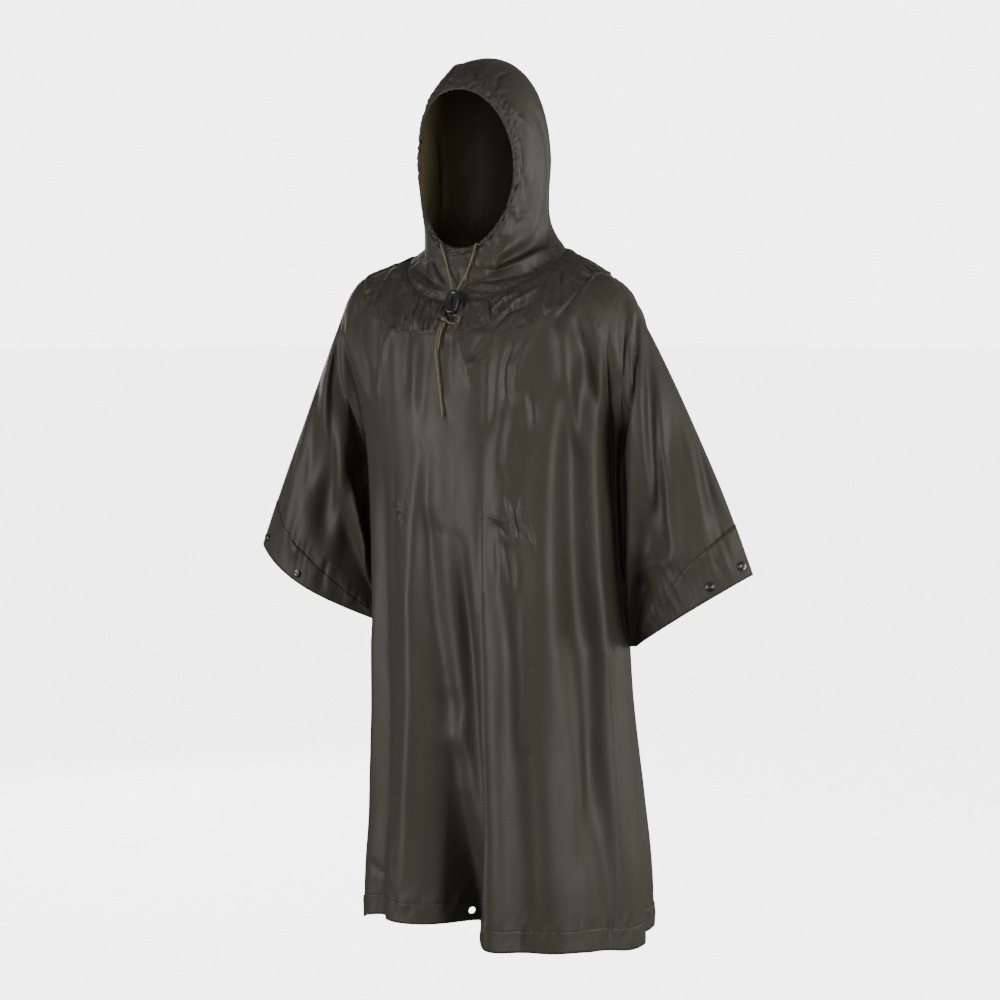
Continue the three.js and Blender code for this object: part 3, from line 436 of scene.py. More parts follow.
neckColumns, shoulderColumns = {"front": 16, "back": 11}, {"front": 5, "back": 4}
columnSpread = {"front": 1.25, "back": 1.0}
bodyColumns = {"front": 42, "back": 30}
yokeRows, domeRows, underarmRow, hemRow, sleeveColumns, neckShare = 2, 6, 14, 24, 7, 0.78
bodyRead = readers(bodySections, "z", "front back middleX middleY")
armholeRead = readers(armholeSections, "z", "x frontY backY")
sideRead = readers(sideSections, "z", "x y")
hoodRead = readers(hoodLoops, "at", "nearY nearZ farY farZ halfWidth bow lift")
hemRead = {face: curveReader(hemLine[face], "across", "up") for face in hemLine}
roundRadius = 200


def hoodPoint(along, turn):
    read = {column: hoodRead[column](along) for column in hoodRead}
    rise, side = (1 - math.cos(turn)) / 2, math.sin(turn)
    wide = math.copysign(abs(side) ** 0.92, side) if abs(side) > 1e-9 else 0.0
    return Vector((read["halfWidth"] * wide * (1 - 0.04 * math.cos(turn)),
                   lerp(read["nearY"], read["farY"], rise) + read["bow"] * side * side,
                   lerp(read["nearZ"], read["farZ"], rise) + read["lift"] * side * side))


def foldOut(folds, arc, z):
    out = 0.0
    for fold in folds:
        t = (fold["topZ"] - z) / (fold["topZ"] - fold["baseZ"])
        if t <= 0:
            continue
        s = min(t, 1.0)
        off = arc - lerp(fold["arcTop"], fold["arc"], s)
        flank = "right" if off < 0 else "left"
        reach = off / lerp(fold[flank + "Top"], fold[flank], s)
        if abs(reach) > 3.5:
            continue
        fadeOut = 1 - smooth(t, 0.8, 1.25) if fold["baseZ"] > hemHeight else 1.0
        out += lerp(fold["outTop"], fold["out"], s) * smooth(t, 0, 0.18) * fadeOut * math.exp(-reach * reach)
    return out


def sectionShape(face, z):
    sign = -1 if face == "front" else 1
    depth = bodyRead[face](z)
    middleX, middleY = bodyRead["middleX"](z), bodyRead["middleY"](z)
    if z > underarmHeight:
        edgeX, edgeY = armholeRead["x"](z), armholeRead[face + "Y"](z)
    else:
        edgeX, edgeY = sideRead["x"](z), sideRead["y"](z)
    turnEnd = math.acos(clamp((edgeY - middleY) * sign / depth, -0.9, 0.9))
    return sign, depth, middleX, middleY, turnEnd, edgeX / math.sin(turnEnd)


def bodySectionPoint(face, across, z):
    sign, depth, middleX, middleY, turnEnd, halfWidth = sectionShape(face, z)
    turn = turnEnd * across
    out = foldOut(bodyFolds[face], turn * roundRadius, z) * (1 - smooth(abs(across), 0.9, 1))
    normal = Vector((math.sin(turn) / halfWidth, sign * math.cos(turn) / depth)).normalized()
    shift = middleX * (1 - abs(across) ** 3) + (0 if z > underarmHeight else middleX * abs(across) ** 3)
    return Vector((shift + halfWidth * math.sin(turn) + normal.x * out,
                   middleY + sign * depth * math.cos(turn) + normal.y * out, z))


def neckPoint(face, across):
    turn = abs(across) / neckShare * math.pi / 2
    seam = hoodPoint(1, turn if face == "front" else math.pi - turn)
    seam.x = math.copysign(seam.x, across)
    return seam


def yokeEdgePoint(face, across):
    side, mirror = abs(across), math.copysign(1, across)
    if side > neckShare + 1e-9:
        point = shoulderLine((side - neckShare) / (1 - neckShare))
        return Vector((point.x * mirror, point.y, point.z))
    turn = side / neckShare * math.pi / 2
    sign = -1 if face == "front" else 1
    return Vector((mirror * yokeEdge["side"] * math.sin(turn) ** 0.95,
                   yokeEdge["middleY"] + sign * yokeEdge[face] * max(math.cos(turn), 0) ** 0.95,
                   lerp(yokeEdge[face + "Z"], yokeEdge["sideZ"], math.sin(turn) ** 4.5)))


def domeLevel(face, side):
    return lerp(-196 if face == "front" else -176, -118, smooth(side, 0.35, 1))


def domePoint(face, across, t):
    side = abs(across)
    top = yokeEdgePoint(face, across)
    around = smooth(side, neckShare - 0.3, neckShare + 0.08)
    fall = lerp(t, 1 - math.cos(math.pi / 2 * t), around)
    out = lerp(1 - (1 - t) ** 1.7, math.sin(math.pi / 2 * t), around)
    levelZ = domeLevel(face, side)
    level = bodySectionPoint(face, across, levelZ)
    return Vector((lerp(top.x, level.x, out), lerp(top.y, level.y, out), lerp(top.z, levelZ, fall)))


def columnShare(face, column):
    off = column - bodyColumns[face] / 2
    beyond = abs(off) - neckColumns[face]
    if beyond <= 0:
        return math.copysign(neckShare * (abs(off) / neckColumns[face]) ** columnSpread[face], off)
    return math.copysign(lerp(neckShare, 1, min(beyond / shoulderColumns[face], 1.0)), off)


def bandShare(t, count, band):
    # how far along row or column t is, where the last of count steps is the stitched band
    last = 1 - 1 / count
    return t / last * band if t <= last else lerp(band, 1, (t - last) / (1 - last))


def sleeveShare(column):
    return bandShare(column / sleeveColumns, sleeveColumns, 1 - cuffBandWidth / sleeveLength)


def bodyPoint(face, column, row):
    across = columnShare(face, column)
    if row < yokeRows:
        return neckPoint(face, across).lerp(yokeEdgePoint(face, across), row / yokeRows)
    if row <= domeRows:
        return domePoint(face, across, (row - yokeRows) / (domeRows - yokeRows))
    if row <= underarmRow:
        levelZ = domeLevel(face, abs(across))
        share = (row - domeRows) / (underarmRow - domeRows)
        return bodySectionPoint(face, across, lerp(levelZ, underarmHeight, share))
    count = hemRow - underarmRow
    share = bandShare((row - underarmRow) / count, count, 1 - hemBandWidth / (underarmHeight - hemHeight))
    return bodySectionPoint(face, across, lerp(underarmHeight, hemHeight + hemRead[face](across), share))


sleeveShape = {"ease": 0.35, "fullest": 0.85, "top": 1.5, "fade": 0.25, "armhole": 0.12, "nearCuff": 0.85,
               "atCuff": 0.6}


def sleevePoint(face, mirror, column, row, look=sleeveShape):
    sign = -1 if face == "front" else 1
    hole = bodyPoint(face, bodyColumns[face], row)
    holeTop = bodyPoint(face, bodyColumns[face], yokeRows)
    across, down = sleeveShare(column), (row - yokeRows) / (underarmRow - yokeRows)
    fall = smooth(down, 0, 1) * look["ease"] + down * (1 - look["ease"])
    swell = math.sin(math.pi * fall ** look["fullest"]) if fall > 0 else 0.0
    cuff = sleeveTip.lerp(sleeveBottom, fall)
    cuff.y += sign * cuffShape[face]["swell"] * swell
    cuff.z += cuffShape[face]["rise"] * swell
    top = (1 - down) ** look["top"]
    point = hole.lerp(cuff, across) + (armLine(across) - holeTop.lerp(sleeveTip, across)) * top
    for fold in sleeveFolds:
        reach = (across - lerp(fold["acrossTop"], fold["acrossEnd"], down)) / fold["width"]
        fade = smooth(down, fold["start"], fold["start"] + look["fade"])
        fade *= 1 - smooth(down, fold["end"] - look["fade"], fold["end"])
        edge = smooth(across, 0, look["armhole"])
        edge *= 1 - look["atCuff"] * smooth(across, look["nearCuff"], 1)
        point.y += sign * fold["out"] * fade * edge * math.exp(-reach * reach)
    point.x *= mirror
    return point


# Small folds: lines on the cloth in arc round the body and height, each with a width, or one for each side
# of the line, how far it stands out, and 1 where it is a sharp crease
foldNames = "line width out sharp"
smallFolds = {
    "front": rows(
        foldNames,
        # wearer's right shoulder
        (((-185, -90), (-168, -146), (-158, -186), (-137, -228)), 9, 6, 0),
        (((-177, -66), (-148, -113), (-135, -155), (-129, -205)), (9, 4), -6, 1),
        (((-161, -62), (-146, -92), (-132, -124)), 7, -4, 0),
        (((-107, -90), (-107, -119), (-111, -190)), 5, -5, 1),
        (((-92, -100), (-101, -142), (-117, -224)), 6, 4, 1),
        (((-70, -104), (-86, -126), (-97, -166)), 5, 3.6, 1),
        (((-45, -100), (-52, -148), (-60, -206)), 11, -4, 0),
        (((-22, -118), (-27, -192), (-31, -260)), 9, -3, 0),
        (((-36, -112), (-39, -170), (-44, -236)), 8, 3, 0),
        # under the yoke
        (((18, -118), (21, -134), (28, -154), (43, -196)), (5, 9), 4.6, 1),
        (((4, -112), (9, -150), (12, -210)), 9, -4, 0),
        (((28, -137), (37, -149), (46, -133), (52, -119)), 4, -4.4, 1),
        (((34, -160), (46, -160), (58, -150)), 4.5, 4, 1), (((56, -150), (63, -197), (67, -262)), 7, -4, 0),
        (((70, -118), (75, -180), (79, -266)), 8, 3.2, 0),
        (((87, -122), (81, -163), (86, -194), (95, -220)), 6, -6.5, 1),
        (((102, -120), (95, -156), (99, -196)), 5, 3.6, 1),
        (((90, -232), (86, -262), (82, -340)), 10, -3.6, 0),
        (((117, -202), (126, -219), (136, -252)), 5, -3.6, 1),
        (((111, -200), (119, -226), (126, -280)), 7, 3, 0),
        # wearer's left shoulder, down to the armhole
        (((130, -88), (142, -122), (156, -168), (192, -242), (214, -292)), (9, 12), 6.5, 0),
        (((148, -84), (165, -120), (202, -189), (244, -250)), 11, -6.5, 0),
        (((188, -100), (212, -160), (240, -215), (266, -268)), (10, 4), 7, 1),
        (((174, -92), (184, -111), (194, -102)), 4, 3.4, 1),
        (((206, -74), (202, -90), (212, -104)), 4, -3, 1), (((150, -64), (158, -84), (166, -96)), 4, -3, 1),
        # long folds of the body
        (((-34, -275), (-48, -457), (-55, -519), (-56, -659), (-65, -829), (-67, -986)), (12, 9), 5.5, 0),
        (((-21, -275), (-27, -400), (-29, -519), (-20, -600)), 12, -4, 0),
        (((30, -430), (38, -600), (44, -760), (46, -880), (44, -1010)), (22, 13), -21, 0),
        (((-8, -650), (-2, -705), (5, -750), (12, -810)), 26, -9, 0),
        (((66, -361), (66, -511), (65, -661), (62, -800), (58, -930), (57, -1020)), (4, 16), 7, 1),
        (((80, -440), (78, -662), (73, -813), (71, -1008)), 11, 3, 0),
        (((104, -500), (104, -620), (98, -760)), 14, -3.2, 0),
        (((127, -512), (124, -663), (116, -793)), 4, 2.2, 1),
        (((134, -742), (122, -752), (112, -770)), 4, -2, 1),
        (((160, -452), (167, -588), (170, -720)), 24, 4.5, 0),
        (((216, -440), (240, -600), (242, -700), (226, -821), (196, -930)), 18, -7, 0),
        (((262, -500), (276, -700), (268, -980)), 14, 5, 0),
        (((150, -760), (146, -880), (150, -1000)), 16, 3, 0),
        (((-104, -300), (-110, -460), (-116, -640)), 12, 3, 0),
        (((-86, -330), (-90, -480), (-96, -620)), 9, -2.6, 0),
        (((-150, -500), (-158, -650), (-162, -760), (-170, -900)), 9, 3.4, 0),
        (((-158, -946), (-141, -959), (-104, -968)), 5, -3.4, 1),
        (((-86, -896), (-95, -938), (-80, -969)), 5, 3, 1),
        (((-40, -263), (-32, -272), (-23, -288)), 5, -2.4, 1),
        (((2, -221), (7, -230), (16, -248)), 5, -2.4, 1),
        (((-9, -408), (-2, -414), (10, -411)), 4, -1.8, 1),
        # waist, drawn together on a short line of stitches
        (((72, -384), (88, -390), (104, -394)), 3.5, 2.6, 1),
        (((78, -397), (94, -404), (107, -422)), 3.5, -2.8, 1),
        (((98, -352), (107, -382), (112, -402), (117, -428)), 4, 3.2, 1),
        (((112, -376), (116, -400), (123, -418)), 3, -3, 1),
        (((124, -356), (121, -388), (129, -410), (142, -432)), 3.5, 2.8, 1),
        (((99, -424), (104, -455), (112, -492)), 6, -2.4, 0),
        (((132, -394), (138, -412), (143, -436)), 3, -2.4, 1),
        (((94, -310), (97, -345), (96, -380)), 9, -2.6, 0),
        (((116, -436), (120, -460), (118, -500)), 5, 1.6, 0),
        (((82, -408), (80, -440), (84, -480)), 6, 1.8, 0),
        (((-92, -374), (-78, -384), (-64, -380)), 3, 2.6, 1),
        (((-84, -394), (-70, -390), (-56, -398)), 3, -2.8, 1),
        (((-76, -366), (-72, -384), (-75, -402)), 3, 2.4, 1),
        (((-62, -370), (-60, -386), (-64, -406)), 3, -2.4, 1)),
    "back": rows(
        foldNames, (((-170, -70), (-178, -220), (-196, -520)), 11, 4, 0),
        (((-126, -60), (-132, -180), (-140, -420)), 9, -4, 0),
        (((-78, -60), (-84, -200), (-88, -480)), 10, 4, 0),
        (((-28, -60), (-26, -190), (-22, -400)), 9, -3.5, 0),
        (((26, -62), (32, -220), (36, -520)), 11, 3.5, 0), (((76, -58), (84, -180), (92, -400)), 9, -4, 0),
        (((132, -60), (146, -210), (158, -500)), 10, 4, 0),
        (((184, -75), (204, -240), (222, -560)), 12, -4, 0),
        (((-150, -560), (-156, -760), (-150, -1000)), 13, -4, 0),
        (((-88, -600), (-84, -800), (-92, -1010)), 14, 4.5, 0),
        (((34, -640), (30, -800), (38, -1000)), 13, -4, 0),
        (((98, -560), (96, -780), (104, -1010)), 14, 4.5, 0),
        (((160, -620), (158, -820), (166, -1000)), 12, -4, 0),
        (((60, -900), (84, -930), (96, -985)), 6, -2.5, 1),
        (((-110, -330), (-100, -342), (-86, -340)), 5, -2.2, 1),
        (((-60, -64), (-66, -100), (-58, -150)), 5, -3, 1), (((54, -62), (60, -96), (50, -140)), 5, 3, 1),
        (((-100, -58), (-104, -92), (-112, -130)), 5, 3, 1),
        (((104, -58), (110, -96), (120, -136)), 5, -3, 1), (((2, -62), (6, -100), (-4, -150)), 5, 2.6, 1)),
}
# Small folds of the sleeves, in parts: across from the armhole to the cuff, down from the arm to the underarm
sleeveCreases = {
    "frontRight": rows(
        foldNames, (((0.28, 0.18), (0.35, 0.36), (0.46, 0.42), (0.65, 0.44), (0.8, 0.5)), 0.05, -7, 0),
        (((0.06, 0.36), (0.26, 0.42), (0.46, 0.51), (0.67, 0.52), (0.84, 0.56)), 0.05, 7, 0),
        (((0.52, 0.08), (0.62, 0.23), (0.74, 0.35)), 0.05, -4, 0),
        (((0.7, 0.14), (0.8, 0.22), (0.94, 0.25)), 0.035, 4, 0),
        (((0.04, 0.53), (0.2, 0.57), (0.33, 0.56), (0.41, 0.54)), 0.035, -8, 0),
        (((0.40, 0.53), (0.43, 0.62), (0.45, 0.71), (0.52, 0.79), (0.6, 0.9)), (0.05, 0.018), 11, 1),
        (((0.3, 0.6), (0.34, 0.72), (0.38, 0.84), (0.44, 0.94)), 0.06, -14, 0),
        (((0.82, 0.55), (0.92, 0.55)), 0.02, -3.5, 1),
        (((0.84, 0.3), (0.92, 0.34), (0.9, 0.4)), 0.018, 3, 1)),
    "frontLeft": rows(
        foldNames,
        (((0.27, 0.03), (0.35, 0.15), (0.37, 0.26), (0.34, 0.38), (0.24, 0.47), (0.15, 0.54),
         (0.12, 0.6), (0.16, 0.66), (0.21, 0.75), (0.34, 0.84)), 0.022, -15, 1),
        (((0.22, 0.06), (0.26, 0.2), (0.26, 0.34), (0.14, 0.46)), 0.05, 6, 0),
        (((0.36, 0.02), (0.47, 0.21), (0.54, 0.33), (0.61, 0.39), (0.72, 0.43)), 0.035, -6, 0),
        (((0.40, 0.18), (0.45, 0.26), (0.52, 0.38), (0.62, 0.5)), 0.04, 5, 0),
        (((0.48, 0.10), (0.58, 0.26), (0.72, 0.36), (0.83, 0.39)), 0.03, 5, 0),
        (((0.84, 0.38), (0.81, 0.47), (0.66, 0.64)), (0.02, 0.04), 5, 1),
        (((0.6, 0.04), (0.74, 0.14), (0.87, 0.19), (0.94, 0.2)), 0.035, 4.5, 0),
        (((0.62, 0.0), (0.74, 0.06), (0.86, 0.11)), 0.03, -4, 0),
        (((0.92, 0.2), (0.975, 0.16)), 0.016, -3, 1), (((0.9, 0.13), (0.97, 0.14)), 0.016, 3, 1),
        (((0.6, 0.72), (0.72, 0.68), (0.84, 0.64)), 0.03, -6, 0),
        (((0.5, 0.66), (0.62, 0.6), (0.78, 0.56)), 0.04, 4, 0)),
    "back": rows(
        foldNames, (((0.12, 0.05), (0.18, 0.4), (0.3, 0.85)), 0.035, 4, 0),
        (((0.32, 0.05), (0.42, 0.45), (0.54, 0.9)), 0.035, -4.5, 0),
        (((0.56, 0.06), (0.66, 0.5), (0.8, 0.95)), 0.035, 4, 0),
        (((0.08, 0.7), (0.2, 0.85), (0.34, 0.97)), 0.03, -4, 0),
        (((0.22, 0.04), (0.3, 0.3), (0.36, 0.6)), 0.03, -3.5, 0)),
}


def lineOffset(place, line):
    # distance to a line of points, below 0 on its right-hand side, and how far along it that is, from 0 to 1
    best, side, share = 1e9, 1, 0.0
    for k, (a, b) in enumerate(zip(line, line[1:])):
        dx, dy = b[0] - a[0], b[1] - a[1]
        px, py = place[0] - a[0], place[1] - a[1]
        t = clamp((px * dx + py * dy) / (dx * dx + dy * dy), 0.0, 1.0)
        off = math.hypot(px - dx * t, py - dy * t)
        if off < best:
            best, side, share = off, (1 if dx * py - dy * px > 0 else -1), (k + t) / (len(line) - 1)
    return best * side, share


creaseShape = {"reach": 3.4, "sharpness": 1.7, "tip": 0.3, "start": (-0.1, 0.22), "end": (-0.1, 0.26)}


def creaseOut(creases, place, look=creaseShape):
    # how far the creases of one table stand out at a place
    out, tip = 0.0, look["tip"]
    for crease in creases:
        width = crease["width"]
        wide = width if isinstance(width, tuple) else (width, width)
        if "box" not in crease:
            margin = look["reach"] * max(wide)
            xs, ys = zip(*crease["line"])
            crease["box"] = (min(xs) - margin, max(xs) + margin, min(ys) - margin, max(ys) + margin)
        left, right, low, high = crease["box"]
        if not (left < place[0] < right and low < place[1] < high):
            continue
        off, share = lineOffset(place, crease["line"])
        reach = abs(off) / wide[1 if off > 0 else 0]
        if crease["sharp"]:
            shape = math.exp(-look["sharpness"] * (math.hypot(reach, tip) - tip))
        else:
            shape = math.exp(-reach * reach)
        out += crease["out"] * shape * smooth(share, *look["start"]) * smooth(1 - share, *look["end"])
    return out


def arcPlace(face, co):
    sign, depth, middleX, middleY, turnEnd, halfWidth = sectionShape(face, co.z)
    return math.atan2((co.x - middleX) / halfWidth, sign * (co.y - middleY) / depth) * roundRadius


def wave(x, y, sizes, seed):
    # uneven, but the same at each run
    return noise.noise(Vector((x / sizes[0], y / sizes[1], seed)))


# Fine wrinkles: how far each kind stands out, and its size across and down the cloth
bodyLook = {"seeds": {"front": 1.7, "back": 8.3}, "nearYoke": 70.0, "gathers": (2.4, (7.5, 60)),
            "shoulder": (3.4, (17, 160)), "soft": (1.3, (30, 330)), "softFrom": (120, 260),
            "fine": (0.3, (15, 60))}
hemLook = {"out": 3.6, "above": 20, "below": 26, "lean": 0.25, "sizes": (7, 34)}
sleeveLook = {"seeds": {"front": 3.1, "back": 6.4}, "leftSeed": 0.8, "slant": 3.2,
              "soft": (1.2, (1 / 9, 1 / 1.8)), "fine": (0.3, (1 / 24, 1 / 8)), "fromArmhole": 0.06,
              "inward": 0.05, "outward": 0.08,
              "cuff": (3.6, (1 / 9, 1 / 34))}


def bodyWrinkle(face, arc, z, yokeZ, look=bodyLook):
    seed = look["seeds"][face]
    near = math.exp(-max(yokeZ - z, 0) / look["nearYoke"])
    shares = {"gathers": (near * near, 0), "shoulder": (near, 3), "soft": (smooth(-z, *look["softFrom"]), 7),
              "fine": (1.0, 11)}
    out = creaseOut(smallFolds[face], (arc, z))
    for kind, (share, further) in shares.items():
        size, sizes = look[kind]
        out += size * share * wave(arc, z, sizes, seed + further)
    return out


def hemWrinkle(face, arc, z, hemZ, look=hemLook):
    # the stitched band draws the cloth into small gathers
    up = z - hemZ - hemBandWidth
    reach = up / look["above" if up > 0 else "below"]
    seed = bodyLook["seeds"][face] + 31
    return look["out"] * math.exp(-reach * reach) * wave(arc - z * look["lean"], z, look["sizes"], seed)


def sleeveWrinkle(face, mirror, across, down, look=sleeveLook):
    seed = look["seeds"][face] + (look["leftSeed"] if mirror > 0 else 0.0)
    creases = sleeveCreases[face + ("Left" if mirror > 0 else "Right") if face == "front" else face]
    soft, fine, cuff = look["soft"], look["fine"], look["cuff"]
    out = creaseOut(creases, (across, down))
    out += soft[0] * wave(across - down * look["slant"] * soft[1][0], down, soft[1], seed)
    out += fine[0] * wave(across, down, fine[1], seed + 5)
    out *= smooth(across, 0, look["fromArmhole"])
    band = 1 - cuffBandWidth / sleeveLength
    reach = (across - band) / look["inward" if across < band else "outward"]
    return out + cuff[0] * math.exp(-reach * reach) * wave(across, down, cuff[1], seed + 9)


def spread(parts):
    # fine grid lines between coarse ones: (count of coarse steps, fine steps in each)
    values, base = [0.0], 0.0
    for coarse, fine in parts:
        values += [base + (k + 1) / fine for k in range(coarse * fine)]
        base += coarse
    return values


panelDetail = {
    "front": {"sleeve": 11, "body": 4, "dome": 5, "chest": 8, "skirt": 8},
    "back": {"sleeve": 11, "body": 5, "dome": 4, "chest": 7, "skirt": 8},
}


def flatCut(bm, place):
    # the cloth's own flat coordinates: distances along its rows and down its columns, in metres
    byPlace = {place[v]: v for v in bm.verts if v.is_valid}
    columns = sorted({p[0] for p in byPlace})
    rowsAt = sorted({p[1] for p in byPlace})
    middle = columns[len(columns) // 2]
    along = {}
    for j in rowsAt:
        line = [i for i in columns if (i, j) in byPlace]
        start = min(line, key=lambda i: abs(i - middle))
        for step in (1, -1):
            total, previous = 0.0, byPlace[(start, j)].co
            i = start
            while (i, j) in byPlace:
                co = byPlace[(i, j)].co
                total += (co - previous).length * step
                along[(i, j)] = total
                previous = co
                i += step
    downward = {}
    for i in columns:
        total, previous = 0.0, None
        for j in rowsAt:
            if (i, j) not in byPlace:
                continue
            co = byPlace[(i, j)].co
            total += (co - previous).length if previous else 0.0
            downward[(i, j)] = total
            previous = co
    return {p: (along[p] * toMetres, -downward[p] * toMetres) for p in byPlace}


def writeCut(bm, place):
    cut = flatCut(bm, place)
    layer = bm.loops.layers.uv.new("cut")
    for face in bm.faces:
        for loop in face.loops:
            loop[layer].uv = cut[place[loop.vert]]


def placedGrid(columnValues, rowValues):
    bm = bmesh.new()
    for name in ("column", "row", "side"):
        bm.verts.layers.float.new(name)
    across, down = len(columnValues) - 1, len(rowValues) - 1
    bmesh.ops.create_grid(bm, x_segments=across, y_segments=down, size=0.5)
    place = {v: (round((v.co.x + 0.5) * across), round((0.5 - v.co.y) * down)) for v in bm.verts}
    return bm, place


def outwards(bm, middle):
    # turns the whole sheet so that its outside faces away from a point
    bm.normal_update()
    if sum((f.normal.dot(f.calc_center_median() - Vector(middle))) * f.calc_area() for f in bm.faces) < 0:
        bmesh.ops.reverse_faces(bm, faces=bm.faces)
    bm.normal_update()


fineSpots = (((58, 158), (-500, -330)), ((-98, -46), (-412, -362)))


def refine(bm, at):
    # smaller faces where the waist is drawn together
    column, row, side = [bm.verts.layers.float[name] for name in ("column", "row", "side")]
    for v in bm.verts:
        v[column], v[row] = at[v][1:3]
        v[side] = at[v][3] if at[v][0] == "sleeve" else 0.0
    edges = set()
    for f in bm.faces:
        co = f.calc_center_median()
        if any(at[v][0] != "body" for v in f.verts) or co.z < -520 or co.z > -320:
            continue
        arc = arcPlace("front", co)
        if any(a[0] < arc < a[1] and z[0] < co.z < z[1] for a, z in fineSpots):
            edges.update(f.edges)
    bmesh.ops.subdivide_edges(bm, edges=list(edges), cuts=2, use_grid_fill=True)
    at.clear()
    for v in bm.verts:
        if abs(v[side]) > 0.5:
            at[v] = ("sleeve", v[column], v[row], round(v[side]))
            continue
        at[v] = ("body", v[column], v[row])
        if -520 < v.co.z < -320:
            v.co = bodyPoint("front", v[column], v[row])
    bm.normal_update()


def makePanel(face):
    detail = panelDetail[face]
    body = bodyColumns[face]
    parts = ((sleeveColumns, detail["sleeve"]), (body, detail["body"]), (sleeveColumns, detail["sleeve"]))
    columnValues = [v - sleeveColumns for v in spread(parts)]
    rowValues = spread(((domeRows, detail["dome"]), (underarmRow - domeRows, detail["chest"]),
                        (hemRow - underarmRow, detail["skirt"])))
    bm, place = placedGrid(columnValues, rowValues)
    # the T shape: no cloth under the sleeves or beside the neck
    away = []
    for f in bm.faces:
        i = sum(place[v][0] for v in f.verts) / 4
        j = sum(place[v][1] for v in f.verts) / 4
        column = lerp(columnValues[int(i)], columnValues[int(i) + 1], 0.5)
        row = lerp(rowValues[int(j)], rowValues[int(j) + 1], 0.5)
        onBody = 0 < column < body
        if (not onBody and (row > underarmRow or row < yokeRows)) or (
                row < yokeRows and abs(column - body / 2) > neckColumns[face]):
            away.append(f)
    bmesh.ops.delete(bm, geom=away, context="FACES")
    place = {v: place[v] for v in bm.verts}
    at = {}
    for v in bm.verts:
        column, row = columnValues[place[v][0]], rowValues[place[v][1]]
        if -1e-6 <= column <= body + 1e-6:
            v.co = bodyPoint(face, column, row)
            at[v] = ("body", column, row)
        else:
            mirror = -1 if column < 0 else 1
            outward = -column if column < 0 else column - body
            v.co = sleevePoint(face, mirror, outward, row)
            at[v] = ("sleeve", outward, row, mirror)
    writeCut(bm, place)
    outwards(bm, (0, 0, -500))
    if face == "front":
        refine(bm, at)
    return bm, at


grommetSeat = {"place": (14.98, -112.57, -1006.8), "direction": (0.7737, -0.6256, -0.0998),
               "hole": 7.4, "inside": 1.5, "rim": 5, "near": 40, "flat": 26.0}


def bodyOut(face, column, row, co):
    across, arc = columnShare(face, column), arcPlace(face, co)
    out = bodyWrinkle(face, arc, co.z, yokeEdgePoint(face, across).z)
    out += hemWrinkle(face, arc, co.z, hemHeight + hemRead[face](across))
    if face == "front":
        out *= smooth((co - Vector(grommetSeat["place"])).length, 10, grommetSeat["flat"])
    return out * (1 - smooth(abs(across), 0.86, 1.0))


def moveAll(bm, moves):
    for v, move in moves:
        v.co += move
    bm.normal_update()


def wrinklePanel(face, bm, at):
    moves = []
    for v in bm.verts:
        kind, column, row = at[v][:3]
        if kind == "body":
            out = bodyOut(face, column, row, v.co)
            if row < yokeRows:
                edge = smooth(row / yokeRows, 0.7, 1.0)
                out = out * edge - 1.4 * (1 - edge)
        else:
            down = (row - yokeRows) / (underarmRow - yokeRows)
            out = sleeveWrinkle(face, at[v][3], sleeveShare(column), down)
            out *= smooth(down, 0, 0.07) * smooth(1 - down, 0, 0.04)
        moves.append((v, v.normal * out))
    moveAll(bm, moves)


def cutHole(bm, look=grommetSeat):
    # the hole under the grommet: the faces round its middle go, and their rim is drawn into a circle
    middle, axis = Vector(look["place"]), Vector(look["direction"]).normalized()

    def reach(co):
        away = co - middle
        return (away - axis * away.dot(axis)).length if away.length < look["near"] else math.inf

    gone = [f for f in bm.faces if reach(f.calc_center_median()) < look["hole"] - look["inside"]]
    if not gone:
        return
    bmesh.ops.delete(bm, geom=gone, context="FACES")
    for v in bm.verts:
        if v.is_boundary and reach(v.co) < look["hole"] + look["rim"]:
            away = v.co - middle
            flat = away - axis * away.dot(axis)
            v.co = middle + axis * away.dot(axis) + flat.normalized() * look["hole"]
    bm.normal_update()


panelMeshes = {}
for face in ("front", "back"):
    panel, at = makePanel(face)
    wrinklePanel(face, panel, at)
    panelMeshes[face] = (panel, at)
    print(face, "panel shaped,", len(panel.faces), "faces")


bandLook = {"away": 0.25, "thickness": 0.55}


def layBand(name, face, keep, node, look=bandLook):
    # a stitched band on the panel: the panel's own faces, moved out along its normals
    panel, at = panelMeshes[face]
    bm = panel.copy()
    panel.verts.index_update()
    bm.verts.ensure_lookup_table()
    normals = [v.normal.copy() for v in panel.verts]
    places = [at[v] for v in panel.verts]
    for i, v in enumerate(bm.verts):
        v.co += normals[i] * look["away"]
    drop = [v for i, v in enumerate(bm.verts) if not keep(places[i])]
    bmesh.ops.delete(bm, geom=drop, context="VERTS")
    if face == "front":
        cutHole(bm)
    bm.normal_update()
    return finishMesh(name, bm, [clothOut, clothOut], [node], look["thickness"], 1.0)


def onHem(place):
    return place[0] == "body" and place[2] >= hemRow - 1 - 1e-6


def onCuff(mirror):
    return lambda place: place[0] == "sleeve" and place[3] == mirror and place[1] >= sleeveColumns - 1 - 1e-6


mirrors = {"left": 1, "right": -1}
hemBands, cuffBands = {}, {}
for face in ("front", "back"):
    hemBands[face] = layBand(face + "HemBand", face, onHem, face + "_hem_band")
    for side, mirror in mirrors.items():
        name, node = side + "Cuff" + face.capitalize(), side + "_cuff_" + face
        cuffBands[side + face] = layBand(name, face, onCuff(mirror), node)
print("hem and cuff bands laid on")

